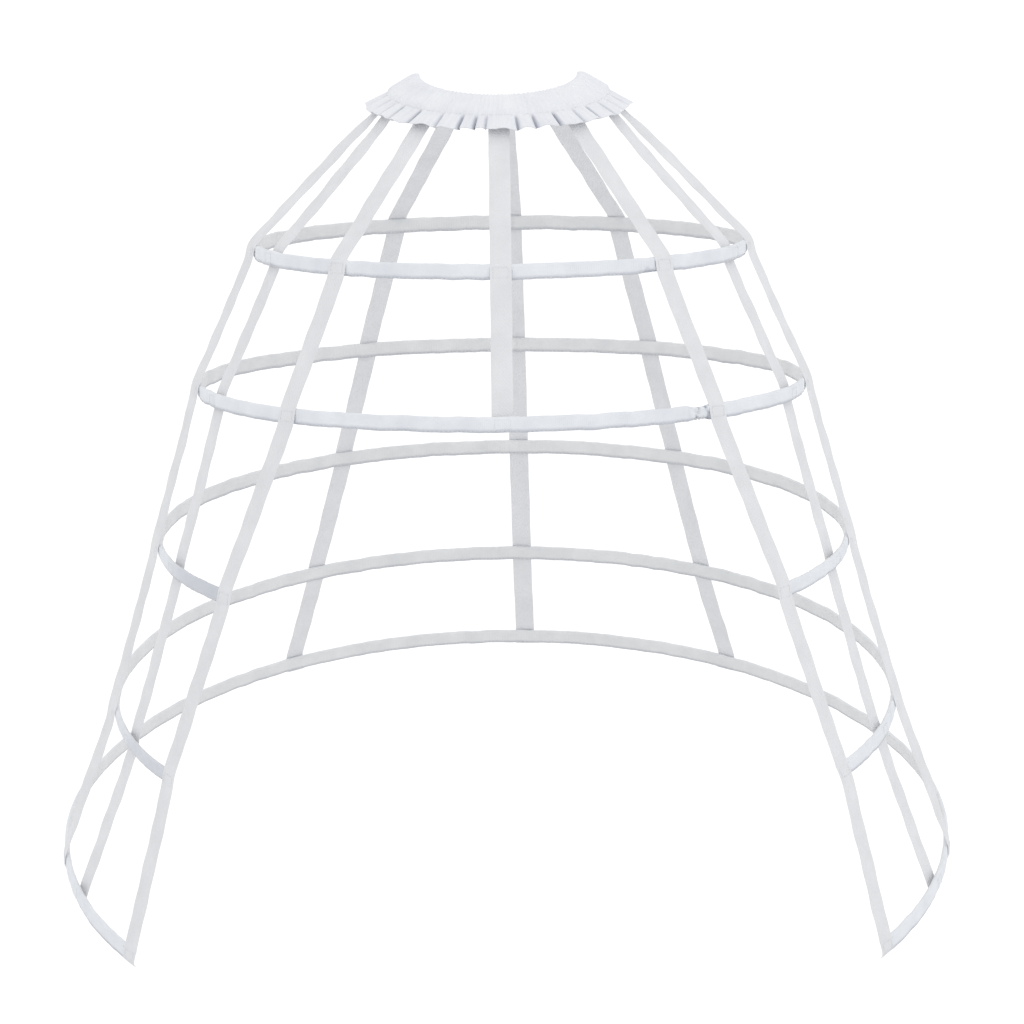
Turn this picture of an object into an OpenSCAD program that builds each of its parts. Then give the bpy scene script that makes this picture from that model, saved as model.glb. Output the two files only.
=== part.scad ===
// Cage crinoline, open at the front below its second hoop: a gathered waistband with a frill,
// ten vertical tapes, and five boned hoops in fabric casings.
//
// The wearer's front faces -Y, and the origin lies on the waist's axis between the band and its frill.
// Angles run round from the front: 0 is the front, 90 is +X and 180 is the back.

/* [Waistband] */
// Radius of the waistband's top edge with its elastic at rest
waist_radius = 76; // [72:1:90]
// Length of the elastic's channel down its slope
channel_length = 35; // [32:1:40]
// Thickness of the folded cloth
cloth_thickness = 1.2; // [0.8:0.1:1.6]
// Slope of the band below the horizontal
band_slope = 30; // [24:1:34]
// Height of the band's top edge at the two sides
side_rise = 26; // [16:1:32]
// How far the top edge dips at the front
front_dip = 16; // [0:1:22]
// How far the top edge dips at the back
back_dip = 30; // [0:1:36]
// Number of gathers round the band
gather_count = 40; // [30:1:48]
// How far a gather stands out from the channel
gather_height = 0.8; // [0.3:0.1:1.2]

/* [Frill] */
// Length of the frill below the channel's seam
frill_length = 24; // [14:1:26]
// How far the frill's waves stand out at its edge
frill_wave = 2.6; // [1:0.1:3]

/* [Waist elastic] */
// Width of the elastic
elastic_width = 25; // [20:1:27]
// Thickness of the elastic
elastic_thickness = 1.6; // [1:0.1:2]

/* [Tapes] */
// Width of each vertical tape
tape_width = 20; // [14:1:25]
// Thickness of each tape
tape_thickness = 1; // [0.6:0.1:1.4]
// Length of each tape that is sewn under the band
tape_tuck = 12; // [8:1:20]
// Angle of the two front tapes on the waistband and on hoop 1
front_tape_angle = 39; // [36:1:43]
// Angle of the side front left tape at the top
side_front_left_top = 67; // [57:1:69]
// Angle of the side front left tape at the hem
side_front_left_hem = 73; // [69:1:81]
// Angle of the side front right tape at the top
side_front_right_top = 69; // [60:1:70]
// Angle of the side front right tape at the hem
side_front_right_hem = 73; // [69:1:80]
// Angle of the side back left tape at the top
side_back_left_top = 81; // [80:1:108]
// Angle of the side back left tape at the hem
side_back_left_hem = 82; // [80:1:106]
// Angle of the side back right tape at the top
side_back_right_top = 82; // [81:1:114]
// Angle of the side back right tape at the hem
side_back_right_hem = 82; // [80:1:116]
// How far the two side back tapes turn their faces to the front
side_turn = 15; // [0:5:45]
// Angle of the back left tape at the top
back_left_top = 154; // [146:1:158]
// Angle of the back left tape at the hem
back_left_hem = 149; // [140:1:154]
// Angle of the back right tape at the top
back_right_top = 150; // [144:1:156]
// Angle of the back right tape at the hem
back_right_hem = 147; // [140:1:152]
// Angle of the tape at the centre of the back
back_centre_angle = 177; // [174:1:186]

/* [Hoop casings] */
// Height of a casing
casing_height = 15; // [15:0.5:20]
// Thickness of a casing
casing_thickness = 5; // [5:0.1:6]
// Thickness of the cloth that a casing is folded from
casing_wall = 0.6; // [0.4:0.05:0.6]
// Height over which the two layers of a casing run together to the seam at its lower edge
seam_height = 2.5; // [2:0.1:2.6]
// Sewn end of an open casing, past the bone's tip
casing_end = 6; // [4:0.5:10]
// How far an open casing runs past its front tape's edge
end_overhang = 0; // [0:0.5:6]

/* [Bones] */
// Width of the flat bone inside each casing
bone_width = 8.5; // [7:0.5:8.5]
// Thickness of the bone
bone_thickness = 1.2; // [0.8:0.1:1.4]
// Wall of the sleeves and tips on the bone's ends
sleeve_wall = 0.5; // [0.4:0.05:0.55]
// Length of the sleeve that joins a closed hoop's bone
joiner_length = 60; // [40:1:90]
// Length of the tip on each end of an open hoop's bone
tip_length = 14; // [10:1:20]
// Gap between the two ends of a closed hoop's bone
bone_gap = 4; // [2:1:10]
// Angle of the joiners, beside the right front tape
joiner_angle = 34; // [26:1:36]

/* [Closed hoops] */
// Radius of hoop 1, at the hips
hoop_1_radius = 238; // [225:1:250]
// Drop of hoop 1 below the origin
hoop_1_drop = 140; // [130:1:160]
// Radius of hoop 2
hoop_2_radius = 296; // [280:1:310]
// Angle of the front tapes on hoop 2
hoop_2_tape_angle = 42; // [38:1:47]
// Drop of hoop 2 below the origin
hoop_2_drop = 276; // [260:1:295]
// How far each hoop's centre lies behind that of the hoop above it
hoop_setback = 18; // [0:1:30]

/* [Open hoops] */
// Radius of hoop 3, the first that is open at the front
hoop_3_radius = 340; // [325:1:355]
// Drop of hoop 3's centre below the origin
hoop_3_drop = 429; // [410:1:445]
// Angle by which hoop 3 falls towards the front
hoop_3_tilt = 6; // [2:0.5:9]
// Angle of the front tapes on hoop 3
hoop_3_tape_angle = 51; // [46:1:56]
// Radius of hoop 4
hoop_4_radius = 388; // [372:1:402]
// Drop of hoop 4's centre below the origin
hoop_4_drop = 590; // [575:1:605]
// Angle by which hoop 4 falls towards the front
hoop_4_tilt = 10.5; // [6:0.5:13]
// Angle of the front tapes on hoop 4
hoop_4_tape_angle = 56; // [51:1:60]
// Radius of hoop 5, at the hem
hoop_5_radius = 443; // [420:1:455]
// Drop of hoop 5's centre below the origin
hoop_5_drop = 735; // [720:1:755]
// Angle by which hoop 5 falls towards the front
hoop_5_tilt = 14.5; // [10:0.5:17]
// Angle of the front tapes on hoop 5
hoop_5_tape_angle = 55; // [51:1:60]

/* [Hidden] */
$fn = 96;

// Gap between pieces that lie on each other
seat_gap = 0.2;
// Gap round a bone, a sleeve or the elastic in its channel
fit_gap = 0.25;
// How far a cut runs past the face that it opens
overrun = 1;
// Points along each gather
gather_steps = 4;
// Angle between the stations of a casing round its hoop
hoop_step = 5;
// Steps of the fold of a tape's end round the hem's casing
fold_steps = 5;
fold_angle = 150;

cloth_colour = "white";
tape_colour = "whitesmoke";
bone_colour = "gainsboro";
elastic_colour = "ivory";

hoop_count = 5;
radii = [hoop_1_radius, hoop_2_radius, hoop_3_radius, hoop_4_radius, hoop_5_radius];
drops = [hoop_1_drop, hoop_2_drop, hoop_3_drop, hoop_4_drop, hoop_5_drop];
tilts = [0, 0, hoop_3_tilt, hoop_4_tilt, hoop_5_tilt];
front_angles = [front_tape_angle, hoop_2_tape_angle,
    hoop_3_tape_angle, hoop_4_tape_angle, hoop_5_tape_angle];

sleeve_width = bone_width + 2 * (sleeve_wall + fit_gap);
sleeve_thickness = bone_thickness + 2 * (sleeve_wall + fit_gap);

function arc_angle(i, length) = length / radii[i] * 180 / PI;

// Half of the angle that a casing leaves open at the front, and the reach of what lies inside it
function open_angle(i) = front_angles[i] - arc_angle(i, tape_width / 2 + end_overhang);
function tip_angle(i) = open_angle(i) + arc_angle(i, casing_end);
function bone_angle(i) = tip_angle(i) + arc_angle(i, sleeve_wall + fit_gap);

// Round the vertical axis
function radial(a) = [sin(a), -cos(a), 0];
function tangent(a) = [cos(a), sin(a), 0];

// Places on a hoop: its ring turns about X, so that its front falls
function lean(i, v) = [v.x, v.y * cos(tilts[i]) - v.z * sin(tilts[i]),
    v.y * sin(tilts[i]) + v.z * cos(tilts[i])];
function hoop_centre(i) = [0, i * hoop_setback, -drops[i]];
function on_hoop(i, a, r, h) = hoop_centre(i) + lean(i, r * radial(a) + [0, 0, h]);

// Places on the band: s runs down its slope from the top edge, n stands out from its inner face
function top_edge(a) = side_rise - (cos(a) > 0 ? front_dip : -back_dip) * cos(a);
function on_band(a, s, n) =
    (waist_radius + s * cos(band_slope) + n * sin(band_slope)) * radial(a)
    + [0, 0, top_edge(a) - s * sin(band_slope) + n * cos(band_slope)];

function down_band(a) = cos(band_slope) * radial(a) - [0, 0, sin(band_slope)];
function unit(v) = v / norm(v);

// Triangles of a closed round of sections, each with the same number of points
function round_faces(rounds, size) = [
    for (i = [0 : rounds - 1], j = [0 : size - 1])
        let (k = (i + 1) % rounds, m = (j + 1) % size)
            each [[i * size + j, i * size + m, k * size + m], [i * size + j, k * size + m, k * size + j]]];

// A gather's wave, uneven as hand-drawn gathers are, from -1 to 1
uneven_share = 0.35;
uneven_waves = 5;
swing_angle = 20;
swing_waves = 3;
function unevenness(a) = sin(uneven_waves * a + swing_angle * sin(swing_waves * a));
function gather(a) = sin(gather_count * a) * (1 - uneven_share + uneven_share * unevenness(a));

// The band is one strip, folded over at its top edge: its outer layer runs on below the seam as the frill,
// and its inner layer ends at the seam, with the elastic between the two.
elastic_inset = (channel_length - elastic_width) / 2;
hollow = elastic_thickness + 2 * fit_gap + gather_height;
outer_layer = cloth_thickness + hollow;
channel_thickness = outer_layer + cloth_thickness;
seam_layer = cloth_thickness + seat_gap;

// Each point of the section has its place down the slope, its place out, and the height of the waves there
shoulder_share = 0.2;
top_share = 0.55;
frill_shares = [0.5, 1];
band_section = concat(
    [[0, channel_thickness * top_share, 0],
        [channel_length * shoulder_share, channel_thickness, gather_height],
        [elastic_inset + elastic_width, channel_thickness, gather_height],
        [channel_length, seam_layer + cloth_thickness, 0]],
    [for (f = frill_shares)
        [channel_length + f * frill_length, seam_layer + cloth_thickness, f * frill_wave]],
    [for (k = [len(frill_shares) - 1 : -1 : 0]) let (f = frill_shares[k])
        [channel_length + f * frill_length, seam_layer, f * frill_wave]],
    [[channel_length, seam_layer, 0],
        [elastic_inset + elastic_width + fit_gap, outer_layer, gather_height],
        [elastic_inset - fit_gap, outer_layer, gather_height],
        [elastic_inset - fit_gap, cloth_thickness, 0],
        [channel_length, cloth_thickness, 0],
        [channel_length, 0, 0],
        [0, 0, 0]]);
elastic_section = [
    [elastic_inset, cloth_thickness + fit_gap + elastic_thickness, 0],
    [elastic_inset + elastic_width, cloth_thickness + fit_gap + elastic_thickness, 0],
    [elastic_inset + elastic_width, cloth_thickness + fit_gap, 0],
    [elastic_inset, cloth_thickness + fit_gap, 0]];

// A section carried round the waist, with its waves
module waist_ring(section, rounds) {
    polyhedron(
        [for (i = [0 : rounds - 1], p = section) let (a = i * 360 / rounds)
            on_band(a, p[0], p[1] + p[2] * gather(a))],
        round_faces(rounds, len(section)));
}

module waistband() {
    color(cloth_colour) waist_ring(band_section, gather_steps * gather_count);
}

module waist_elastic() {
    color(elastic_colour) waist_ring(elastic_section, gather_steps * gather_count / 2);
}

// A tape's stations: the middle of its inner face, its direction of width and its outward direction
// Under the band, both edges of a tape follow the band's inner face
function tucked(a) = [for (s = [channel_length - tape_tuck, channel_length])
    let (turn = asin(tape_width / 2 / (waist_radius + s * cos(band_slope))),
        left = on_band(a - turn, s, -tape_thickness - seat_gap),
        right = on_band(a + turn, s, -tape_thickness - seat_gap),
        across = unit(right - left))
        [(left + right) / 2, across, unit(cross(down_band(a), across))]];
function over_hoop(i, a) = [for (h = [casing_height / 2, -casing_height / 2])
    [on_hoop(i, a, radii[i] + casing_thickness / 2 + seat_gap, h),
        lean(i, tangent(a)), lean(i, radial(a))]];

// Behind a casing, a flat tape clears the ring's inner face at both of its edges
function inner_seat(i) = sqrt(
    pow((radii[i] - casing_thickness / 2) * cos(hoop_step / 2) - seat_gap, 2) - pow(tape_width / 2, 2));
function behind_hoop(i, a) = [for (h = [casing_height / 2, -casing_height / 2])
    [on_hoop(i, a, inner_seat(i) - tape_thickness, h), lean(i, tangent(a)), lean(i, radial(a))]];

// Round the hem's casing: down its face, then under its lower edge
function round_hem(i, a) = let (r = casing_thickness / 2 + seat_gap, low = casing_thickness / 2 - casing_height / 2)
    concat([over_hoop(i, a)[0]],
        [for (k = [0 : fold_steps]) let (f = k * fold_angle / fold_steps)
            [on_hoop(i, a, radii[i] + r * cos(f), low - r * sin(f)), lean(i, tangent(a)),
                lean(i, radial(a) * cos(f) - [0, 0, sin(f)])]]);

function full_tape(angles) = concat(tucked(angles[0]),
    [for (i = [0 : hoop_count - 2]) each over_hoop(i, angles[i])],
    round_hem(hoop_count - 1, angles[hoop_count - 1]));

// The side front tapes run down inside all the hoops
function inner_tape(angles) = concat(tucked(angles[0]),
    [for (i = [0 : hoop_count - 1]) each behind_hoop(i, angles[i])]);

// The side back tapes are loose: each lies on the casings with its front edge, and its back edge stands off
function turned(row, turn) = [row[0] + row[2] * abs(sin(turn)) * tape_width / 2,
    row[1] * cos(turn) - row[2] * sin(turn), row[2] * cos(turn) + row[1] * sin(turn)];
function loose_tape(angles, turn) = let (rows = full_tape(angles))
    [for (k = [0 : len(rows) - 1]) k < 2 || k >= 2 * hoop_count ? rows[k] : turned(rows[k], turn)];

// Both faces of a tape are split along the same diagonals, so that it keeps its thickness where it turns
tape_corners = [[0, 1, 5], [0, 5, 4], [3, 6, 2], [3, 7, 6], [1, 2, 6], [1, 6, 5], [0, 4, 7], [0, 7, 3]];

module tape(stations) {
    half = tape_width / 2;
    last = 4 * (len(stations) - 1);
    color(tape_colour)
    polyhedron(
        [for (s = stations) each [s[0] - half * s[1], s[0] + half * s[1],
            s[0] + half * s[1] + tape_thickness * s[2], s[0] - half * s[1] + tape_thickness * s[2]]],
        concat([for (k = [0 : len(stations) - 2], f = tape_corners) [for (c = f) c + 4 * k]],
            [[2, 1, 0], [3, 2, 0], [last, last + 1, last + 2], [last, last + 2, last + 3]]));
}

// Angles on all five hoops of a tape that drifts evenly from the top to the hem
function drift(top, hem) = [for (i = [0 : hoop_count - 1]) top + (hem - top) * i / (hoop_count - 1)];
// The same for a back tape, which has its hem angle from the fourth hoop on
function early_drift(top, hem) = [for (i = [0 : hoop_count - 1]) top + (hem - top) * min(1, i / (hoop_count - 2))];

module front_centre_tape() { tape(concat(tucked(0), over_hoop(0, 0), behind_hoop(1, 0))); }
module front_left_tape() { tape(full_tape(-front_angles)); }
module front_right_tape() { tape(full_tape(front_angles)); }
module side_front_left_tape() { tape(inner_tape(-drift(side_front_left_top, side_front_left_hem))); }
module side_front_right_tape() { tape(inner_tape(drift(side_front_right_top, side_front_right_hem))); }
module side_back_left_tape() {
    tape(loose_tape(-drift(side_back_left_top, side_back_left_hem), side_turn));
}
module side_back_right_tape() {
    tape(loose_tape(drift(side_back_right_top, side_back_right_hem), -side_turn));
}
module back_left_tape() { tape(full_tape(-early_drift(back_left_top, back_left_hem))); }
module back_right_tape() { tape(full_tape(early_drift(back_right_top, back_right_hem))); }
module back_centre_tape() { tape(full_tape(drift(back_centre_angle, back_centre_angle))); }

// Part of a ring of a flat section, from one angle round the back to another
module ring_part(i, from, to) {
    rotate([0, 0, from - 90]) rotate_extrude(angle = to - from) translate([radii[i], 0]) children();
}

module place_hoop(i) {
    translate(hoop_centre(i)) rotate([tilts[i], 0, 0]) children();
}

module flat_section(thickness, width) {
    square([thickness, width], center = true);
}

// A casing is a strip, folded over its bone at the top, with its two layers sewn together at the lower edge.
// The section's outer face runs from the inner layer's lower edge over the fold, and its inner face runs back.
function strip_face(half, seam) = let (low = seat_gap - casing_height / 2, top = casing_height / 2)
    [[-seam, low], [-half, seam_height - top], [-half, top - casing_thickness / 2],
        [0, top], [half, top - casing_thickness / 2], [half, seam_height - top], [seam, low]];
function lowered(face) = [for (p = face) p.x == 0 ? p - [0, casing_wall] : p];
function strip(half) = let (inner = lowered(strip_face(half - casing_wall, seat_gap / 2)), last = len(inner) - 1)
    concat(strip_face(half, seat_gap / 2 + casing_wall), [for (k = [0 : last]) inner[last - k]]);
full_strip = strip(casing_thickness / 2);
sewn_strip = strip(casing_wall + seat_gap / 2);
strip_size = len(full_strip);

function strip_points(i, a, section) = [for (p = section) on_hoop(i, a, radii[i] + p.x, p.y)];

module closed_casing(i) {
    rounds = 360 / hoop_step;
    color(cloth_colour)
    polyhedron(
        [for (k = [0 : rounds - 1]) each strip_points(i, k * hoop_step, full_strip)],
        round_faces(rounds, strip_size));
}

// An open casing is sewn flat at its two ends
module open_casing(i) {
    steps = ceil((360 - 2 * tip_angle(i)) / hoop_step);
    rounds = steps + 3;
    last = (rounds - 1) * strip_size;
    color(cloth_colour)
    polyhedron(
        concat(strip_points(i, open_angle(i), sewn_strip),
            [for (k = [0 : steps])
                each strip_points(i, tip_angle(i) + k * (360 - 2 * tip_angle(i)) / steps, full_strip)],
            strip_points(i, 360 - open_angle(i), sewn_strip)),
        concat([for (f = round_faces(rounds, strip_size)) if (max(f) - min(f) < last - strip_size) f],
            [for (k = [0 : strip_size / 2 - 2]) [k + 1, k, strip_size - 1 - k, strip_size - 2 - k]],
            [for (k = [0 : strip_size / 2 - 2])
                [last + k, last + k + 1, last + strip_size - 2 - k, last + strip_size - 1 - k]]));
}

module hoop_1_casing() { closed_casing(0); }
module hoop_2_casing() { closed_casing(1); }
module hoop_3_casing() { open_casing(2); }
module hoop_4_casing() { open_casing(3); }
module hoop_5_casing() { open_casing(4); }

// A closed hoop's bone meets its own end inside the joiner
module closed_bone(i) {
    gap = arc_angle(i, bone_gap / 2);
    color(bone_colour)
    place_hoop(i) ring_part(i, joiner_angle + gap, 360 + joiner_angle - gap)
        flat_section(bone_thickness, bone_width);
}

module open_bone(i) {
    end = bone_angle(i) + arc_angle(i, fit_gap);
    color(bone_colour)
    place_hoop(i) ring_part(i, end, 360 - end) flat_section(bone_thickness, bone_width);
}

module hoop_1_bone() { closed_bone(0); }
module hoop_2_bone() { closed_bone(1); }
module hoop_3_bone() { open_bone(2); }
module hoop_4_bone() { open_bone(3); }
module hoop_5_bone() { open_bone(4); }

module sleeve_section() {
    difference() {
        flat_section(sleeve_thickness, sleeve_width);
        flat_section(bone_thickness + 2 * fit_gap, bone_width + 2 * fit_gap);
    }
}

module joiner(i) {
    half = arc_angle(i, joiner_length / 2);
    color(bone_colour)
    place_hoop(i) ring_part(i, joiner_angle - half, joiner_angle + half) sleeve_section();
}

module hoop_1_joiner() { joiner(0); }
module hoop_2_joiner() { joiner(1); }

// Each tip is a cap over the bone's end
module bone_tips(i) {
    start = tip_angle(i) + arc_angle(i, fit_gap);
    wall = start + arc_angle(i, sleeve_wall);
    end = start + arc_angle(i, tip_length - fit_gap);
    color(bone_colour)
    place_hoop(i) for (side = [0, 1]) mirror([side, 0, 0]) difference() {
        ring_part(i, start, end) flat_section(sleeve_thickness, sleeve_width);
        ring_part(i, wall, end + arc_angle(i, overrun))
            flat_section(bone_thickness + 2 * fit_gap, bone_width + 2 * fit_gap);
    }
}

module hoop_3_bone_tips() { bone_tips(2); }
module hoop_4_bone_tips() { bone_tips(3); }
module hoop_5_bone_tips() { bone_tips(4); }

waistband();
waist_elastic();
front_centre_tape();
front_left_tape();
front_right_tape();
side_front_left_tape();
side_front_right_tape();
side_back_left_tape();
side_back_right_tape();
back_left_tape();
back_right_tape();
back_centre_tape();
hoop_1_casing();
hoop_2_casing();
hoop_3_casing();
hoop_4_casing();
hoop_5_casing();
hoop_1_bone();
hoop_2_bone();
hoop_3_bone();
hoop_4_bone();
hoop_5_bone();
hoop_1_joiner();
hoop_2_joiner();
hoop_3_bone_tips();
hoop_4_bone_tips();
hoop_5_bone_tips();
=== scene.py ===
# %% [markdown]
# # A cage crinoline, open at the front
#
# This lesson dresses the solids of a cage crinoline. The real one is all cloth and sprung bone: a gathered
# waistband with a frill, ten twill tapes that run down from it, and five flat bones in cloth casings. The
# solids give every place, so each soft piece here is made on the same sizes and stands where its solid is.

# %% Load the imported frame
import math

import bmesh
import bpy
import numpy as np
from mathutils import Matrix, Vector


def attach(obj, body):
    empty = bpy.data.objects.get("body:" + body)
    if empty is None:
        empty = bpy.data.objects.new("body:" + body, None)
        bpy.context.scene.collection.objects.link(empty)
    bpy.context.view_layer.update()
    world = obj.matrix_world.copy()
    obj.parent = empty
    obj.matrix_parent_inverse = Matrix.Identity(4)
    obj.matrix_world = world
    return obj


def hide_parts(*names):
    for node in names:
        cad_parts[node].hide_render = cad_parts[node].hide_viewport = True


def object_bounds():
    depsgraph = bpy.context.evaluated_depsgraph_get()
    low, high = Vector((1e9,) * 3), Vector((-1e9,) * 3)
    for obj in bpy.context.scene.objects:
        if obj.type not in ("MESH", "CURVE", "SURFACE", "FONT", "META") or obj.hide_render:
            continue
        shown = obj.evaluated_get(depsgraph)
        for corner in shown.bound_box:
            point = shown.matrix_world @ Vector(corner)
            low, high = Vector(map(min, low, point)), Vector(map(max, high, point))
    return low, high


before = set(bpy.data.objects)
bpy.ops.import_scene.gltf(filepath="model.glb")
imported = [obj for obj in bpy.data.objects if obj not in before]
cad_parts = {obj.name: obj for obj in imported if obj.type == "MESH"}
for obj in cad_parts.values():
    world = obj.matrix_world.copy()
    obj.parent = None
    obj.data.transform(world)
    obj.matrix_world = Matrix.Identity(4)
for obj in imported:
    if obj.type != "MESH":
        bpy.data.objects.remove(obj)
cad_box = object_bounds()
scene = bpy.context.scene
scene.view_settings.view_transform = "Standard"
print("nodes", len(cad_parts), "CAD box", [tuple(round(v, 3) for v in corner) for corner in cad_box])

# %% [markdown]
# ## The camera
#
# The photograph was taken from far away with a long lens, a little above the waist and looking down. Its
# place and angles were fitted to the hoops, so each hoop's ellipse is as open as the photograph shows it.

# %% Camera at the photograph's place
SENSOR_WIDTH = 36.0
LENS_LENGTH = 149.7
CAMERA_PLACE = (-0.0052, -4.1323, 0.2761)
CAMERA_ANGLES = (80.671, 0.62, -0.295)
FAR_CLIP = 100.0

camera = bpy.data.objects.new("photo_camera", bpy.data.cameras.new("photo_camera"))
camera.data.sensor_width = SENSOR_WIDTH
camera.data.lens = LENS_LENGTH
camera.location = CAMERA_PLACE
camera.rotation_euler = [math.radians(angle) for angle in CAMERA_ANGLES]
camera.data.clip_end = FAR_CLIP
scene.collection.objects.link(camera)
scene.camera = camera
print("camera lens", round(camera.data.lens, 1), "mm")

# %% [markdown]
# ## The studio
#
# The object hangs from its waist in front of a white ground. The world is a soft light from all sides. It
# shows as plain white to the camera, which the light on the cloth doesn't depend on. One broad lamp at the
# right gives the tapes and casings a lit and a shaded side, as in the photograph.

# %% Helpers for nodes and colours


def node(tree, kind, settings=None, inputs=None):
    """Adds a node. Settings are its properties, and inputs are values or the sockets that feed it."""
    made = tree.nodes.new(kind)
    for name, value in (settings or {}).items():
        setattr(made, name, value)
    for name, value in (inputs or {}).items():
        if isinstance(value, bpy.types.NodeSocket):
            tree.links.new(value, made.inputs[name])
        else:
            made.inputs[name].default_value = value
    return made


def empty_material(name):
    """A new material, and its node tree with nothing in it."""
    made = bpy.data.materials.new(name)
    made.use_nodes = True
    made.node_tree.nodes.clear()
    return made, made.node_tree


def linear(code):
    """A colour for a shader from its sRGB hex code."""
    parts = [int(code[k:k + 2], 16) / 255 for k in (1, 3, 5)]
    parts = [c / 12.92 if c <= 0.04045 else ((c + 0.055) / 1.055) ** 2.4 for c in parts]
    return (*parts, 1.0)


def paint_ramp(ramp, codes):
    """Gives the two ends of a colour ramp their colours."""
    for point, code in zip(ramp.color_ramp.elements, codes):
        point.color = linear(code)


def seen_by_eye(tree):
    """1 for rays from the camera, or that it sees by reflection or through glass, and 0 for the rest."""
    path = node(tree, "ShaderNodeLightPath")
    glossy = node(tree, "ShaderNodeMath", {"operation": "MAXIMUM"},
                  {0: path.outputs["Is Camera Ray"], 1: path.outputs["Is Glossy Ray"]})
    return node(tree, "ShaderNodeMath", {"operation": "MAXIMUM"},
                {0: glossy.outputs[0], 1: path.outputs["Is Transmission Ray"]}).outputs[0]


print("middle grey in a shader", round(linear("#808080")[0], 3))

# %% World and lamp
WHITE = (1.0, 1.0, 1.0, 1.0)
SOFT_LIGHT = 0.96
LAMP_WATTS = 8.0
LAMP_SIZE = 2.4
LAMP_PLACE = (2.9, -3.2, 1.3)
LAMP_ANGLES = (68, 0, 42)

world = bpy.data.worlds.new("white_studio")
world.use_nodes = True
sky = world.node_tree
sky.nodes.clear()
scene.world = world
soft = node(sky, "ShaderNodeBackground", None, {"Color": WHITE, "Strength": SOFT_LIGHT})
white = node(sky, "ShaderNodeBackground", None, {"Color": WHITE, "Strength": 1.0})
both = node(sky, "ShaderNodeMixShader", None, {0: seen_by_eye(sky), 1: soft.outputs[0], 2: white.outputs[0]})
node(sky, "ShaderNodeOutputWorld", None, {"Surface": both.outputs[0]})

lamp = bpy.data.objects.new("side_lamp", bpy.data.lights.new("side_lamp", "AREA"))
lamp.data.shape = "DISK"
lamp.data.size = LAMP_SIZE
lamp.data.energy = LAMP_WATTS
lamp.location = LAMP_PLACE
lamp.rotation_euler = [math.radians(angle) for angle in LAMP_ANGLES]
scene.collection.objects.link(lamp)
print("lamp of", LAMP_WATTS, "watts")

# %% Floor
FLOOR_DROP = 0.16
FLOOR_HALF = 40.0
PAPER_TONE = (0.9, 0.9, 0.9, 1.0)
PAPER_GLOW = 0.25

floor_height = cad_box[0][2] - FLOOR_DROP
floor_corners = [(x * FLOOR_HALF, y * FLOOR_HALF, floor_height)
                 for x, y in ((-1, -1), (1, -1), (1, 1), (-1, 1))]
floor_mesh = bpy.data.meshes.new("studio_floor")
floor_mesh.from_pydata(floor_corners, [], [(0, 1, 2, 3)])
floor = bpy.data.objects.new("studio_floor", floor_mesh)
scene.collection.objects.link(floor)
paper, paper_tree = empty_material("white_paper_floor")
matt = node(paper_tree, "ShaderNodeBsdfDiffuse", None, {"Color": PAPER_TONE})
glow = node(paper_tree, "ShaderNodeEmission", None, {"Color": WHITE, "Strength": PAPER_GLOW})
lifted = node(paper_tree, "ShaderNodeAddShader", None, {0: matt.outputs[0], 1: glow.outputs[0]})
pale = node(paper_tree, "ShaderNodeMixShader", None,
            {0: seen_by_eye(paper_tree), 1: matt.outputs[0], 2: lifted.outputs[0]})
node(paper_tree, "ShaderNodeOutputMaterial", None, {"Surface": pale.outputs[0]})
floor_mesh.materials.append(paper)
print("floor at", round(floor_height, 3))

# %% [markdown]
# ## The sizes
#
# These are the sizes that the solids were made with, in metres and degrees. Only the ends of the open hoops
# are cut and set a little differently here, as the comments there say. Angles run round from the wearer's
# front: 0 is the front, 90 is the right side of the picture and 180 is the back.

# %% Sizes of band, tapes and hoops
WAIST_RADIUS = 0.076
CHANNEL_LENGTH = 0.035
BAND_SLOPE = math.radians(30)
SIDE_RISE = 0.026
FRONT_DIP = 0.016
BACK_DIP = 0.030
GATHER_COUNT = 40
FRILL_LENGTH = 0.024
FRILL_WAVE = 0.0026

TAPE_WIDTH = 0.020
TAPE_THICKNESS = 0.001
TAPE_TUCK = 0.012
SEAT_GAP = 0.0002

CASING_HEIGHT = 0.015
CASING_THICKNESS = 0.005
CASING_WALL = 0.0006
# An open casing ends this far inside its front tape's edge, and is flat over this length
END_INSET = 0.003
FLAT_END = 0.003

RADII = [0.238, 0.296, 0.340, 0.388, 0.443]
DROPS = [0.140, 0.276, 0.429, 0.590, 0.735]
TILTS = [math.radians(angle) for angle in (0, 0, 6, 10.5, 14.5)]
SETBACK = 0.018
FRONT_ANGLES = [39, 42, 51, 56, 55]
OPEN_HOOPS = (2, 3, 4)
LAST_HOOP = len(RADII) - 1
# The solids' rings have a corner at each of these steps
HOOP_STEP = math.radians(5)
# How far the left and right end of each casing lean back at the top, and the length over which they do
END_LEAN = math.radians(17)
END_LEANS = [(0.0, 0.0), (0.0, 0.0), (0.0, 0.0), (0.0, END_LEAN), (END_LEAN, END_LEAN)]
LEAN_REACH = 0.3
print("hoops", len(RADII), "hem", 2 * RADII[LAST_HOOP], "m wide")

# %% Angles of the tapes
# On the open hoops the front tapes stand a little nearer the opening, so that they cover the casings' ends
FRONT_COVER = 0.004


def drift(top, hem):
    """A tape's angle on each of the five hoops."""
    return [top + (hem - top) * k / LAST_HOOP for k in range(len(RADII))]


def early_drift(top, hem):
    """The same for a back tape, which has its hem angle from the fourth hoop on."""
    return [top + (hem - top) * min(1, k / (LAST_HOOP - 1)) for k in range(len(RADII))]


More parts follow.
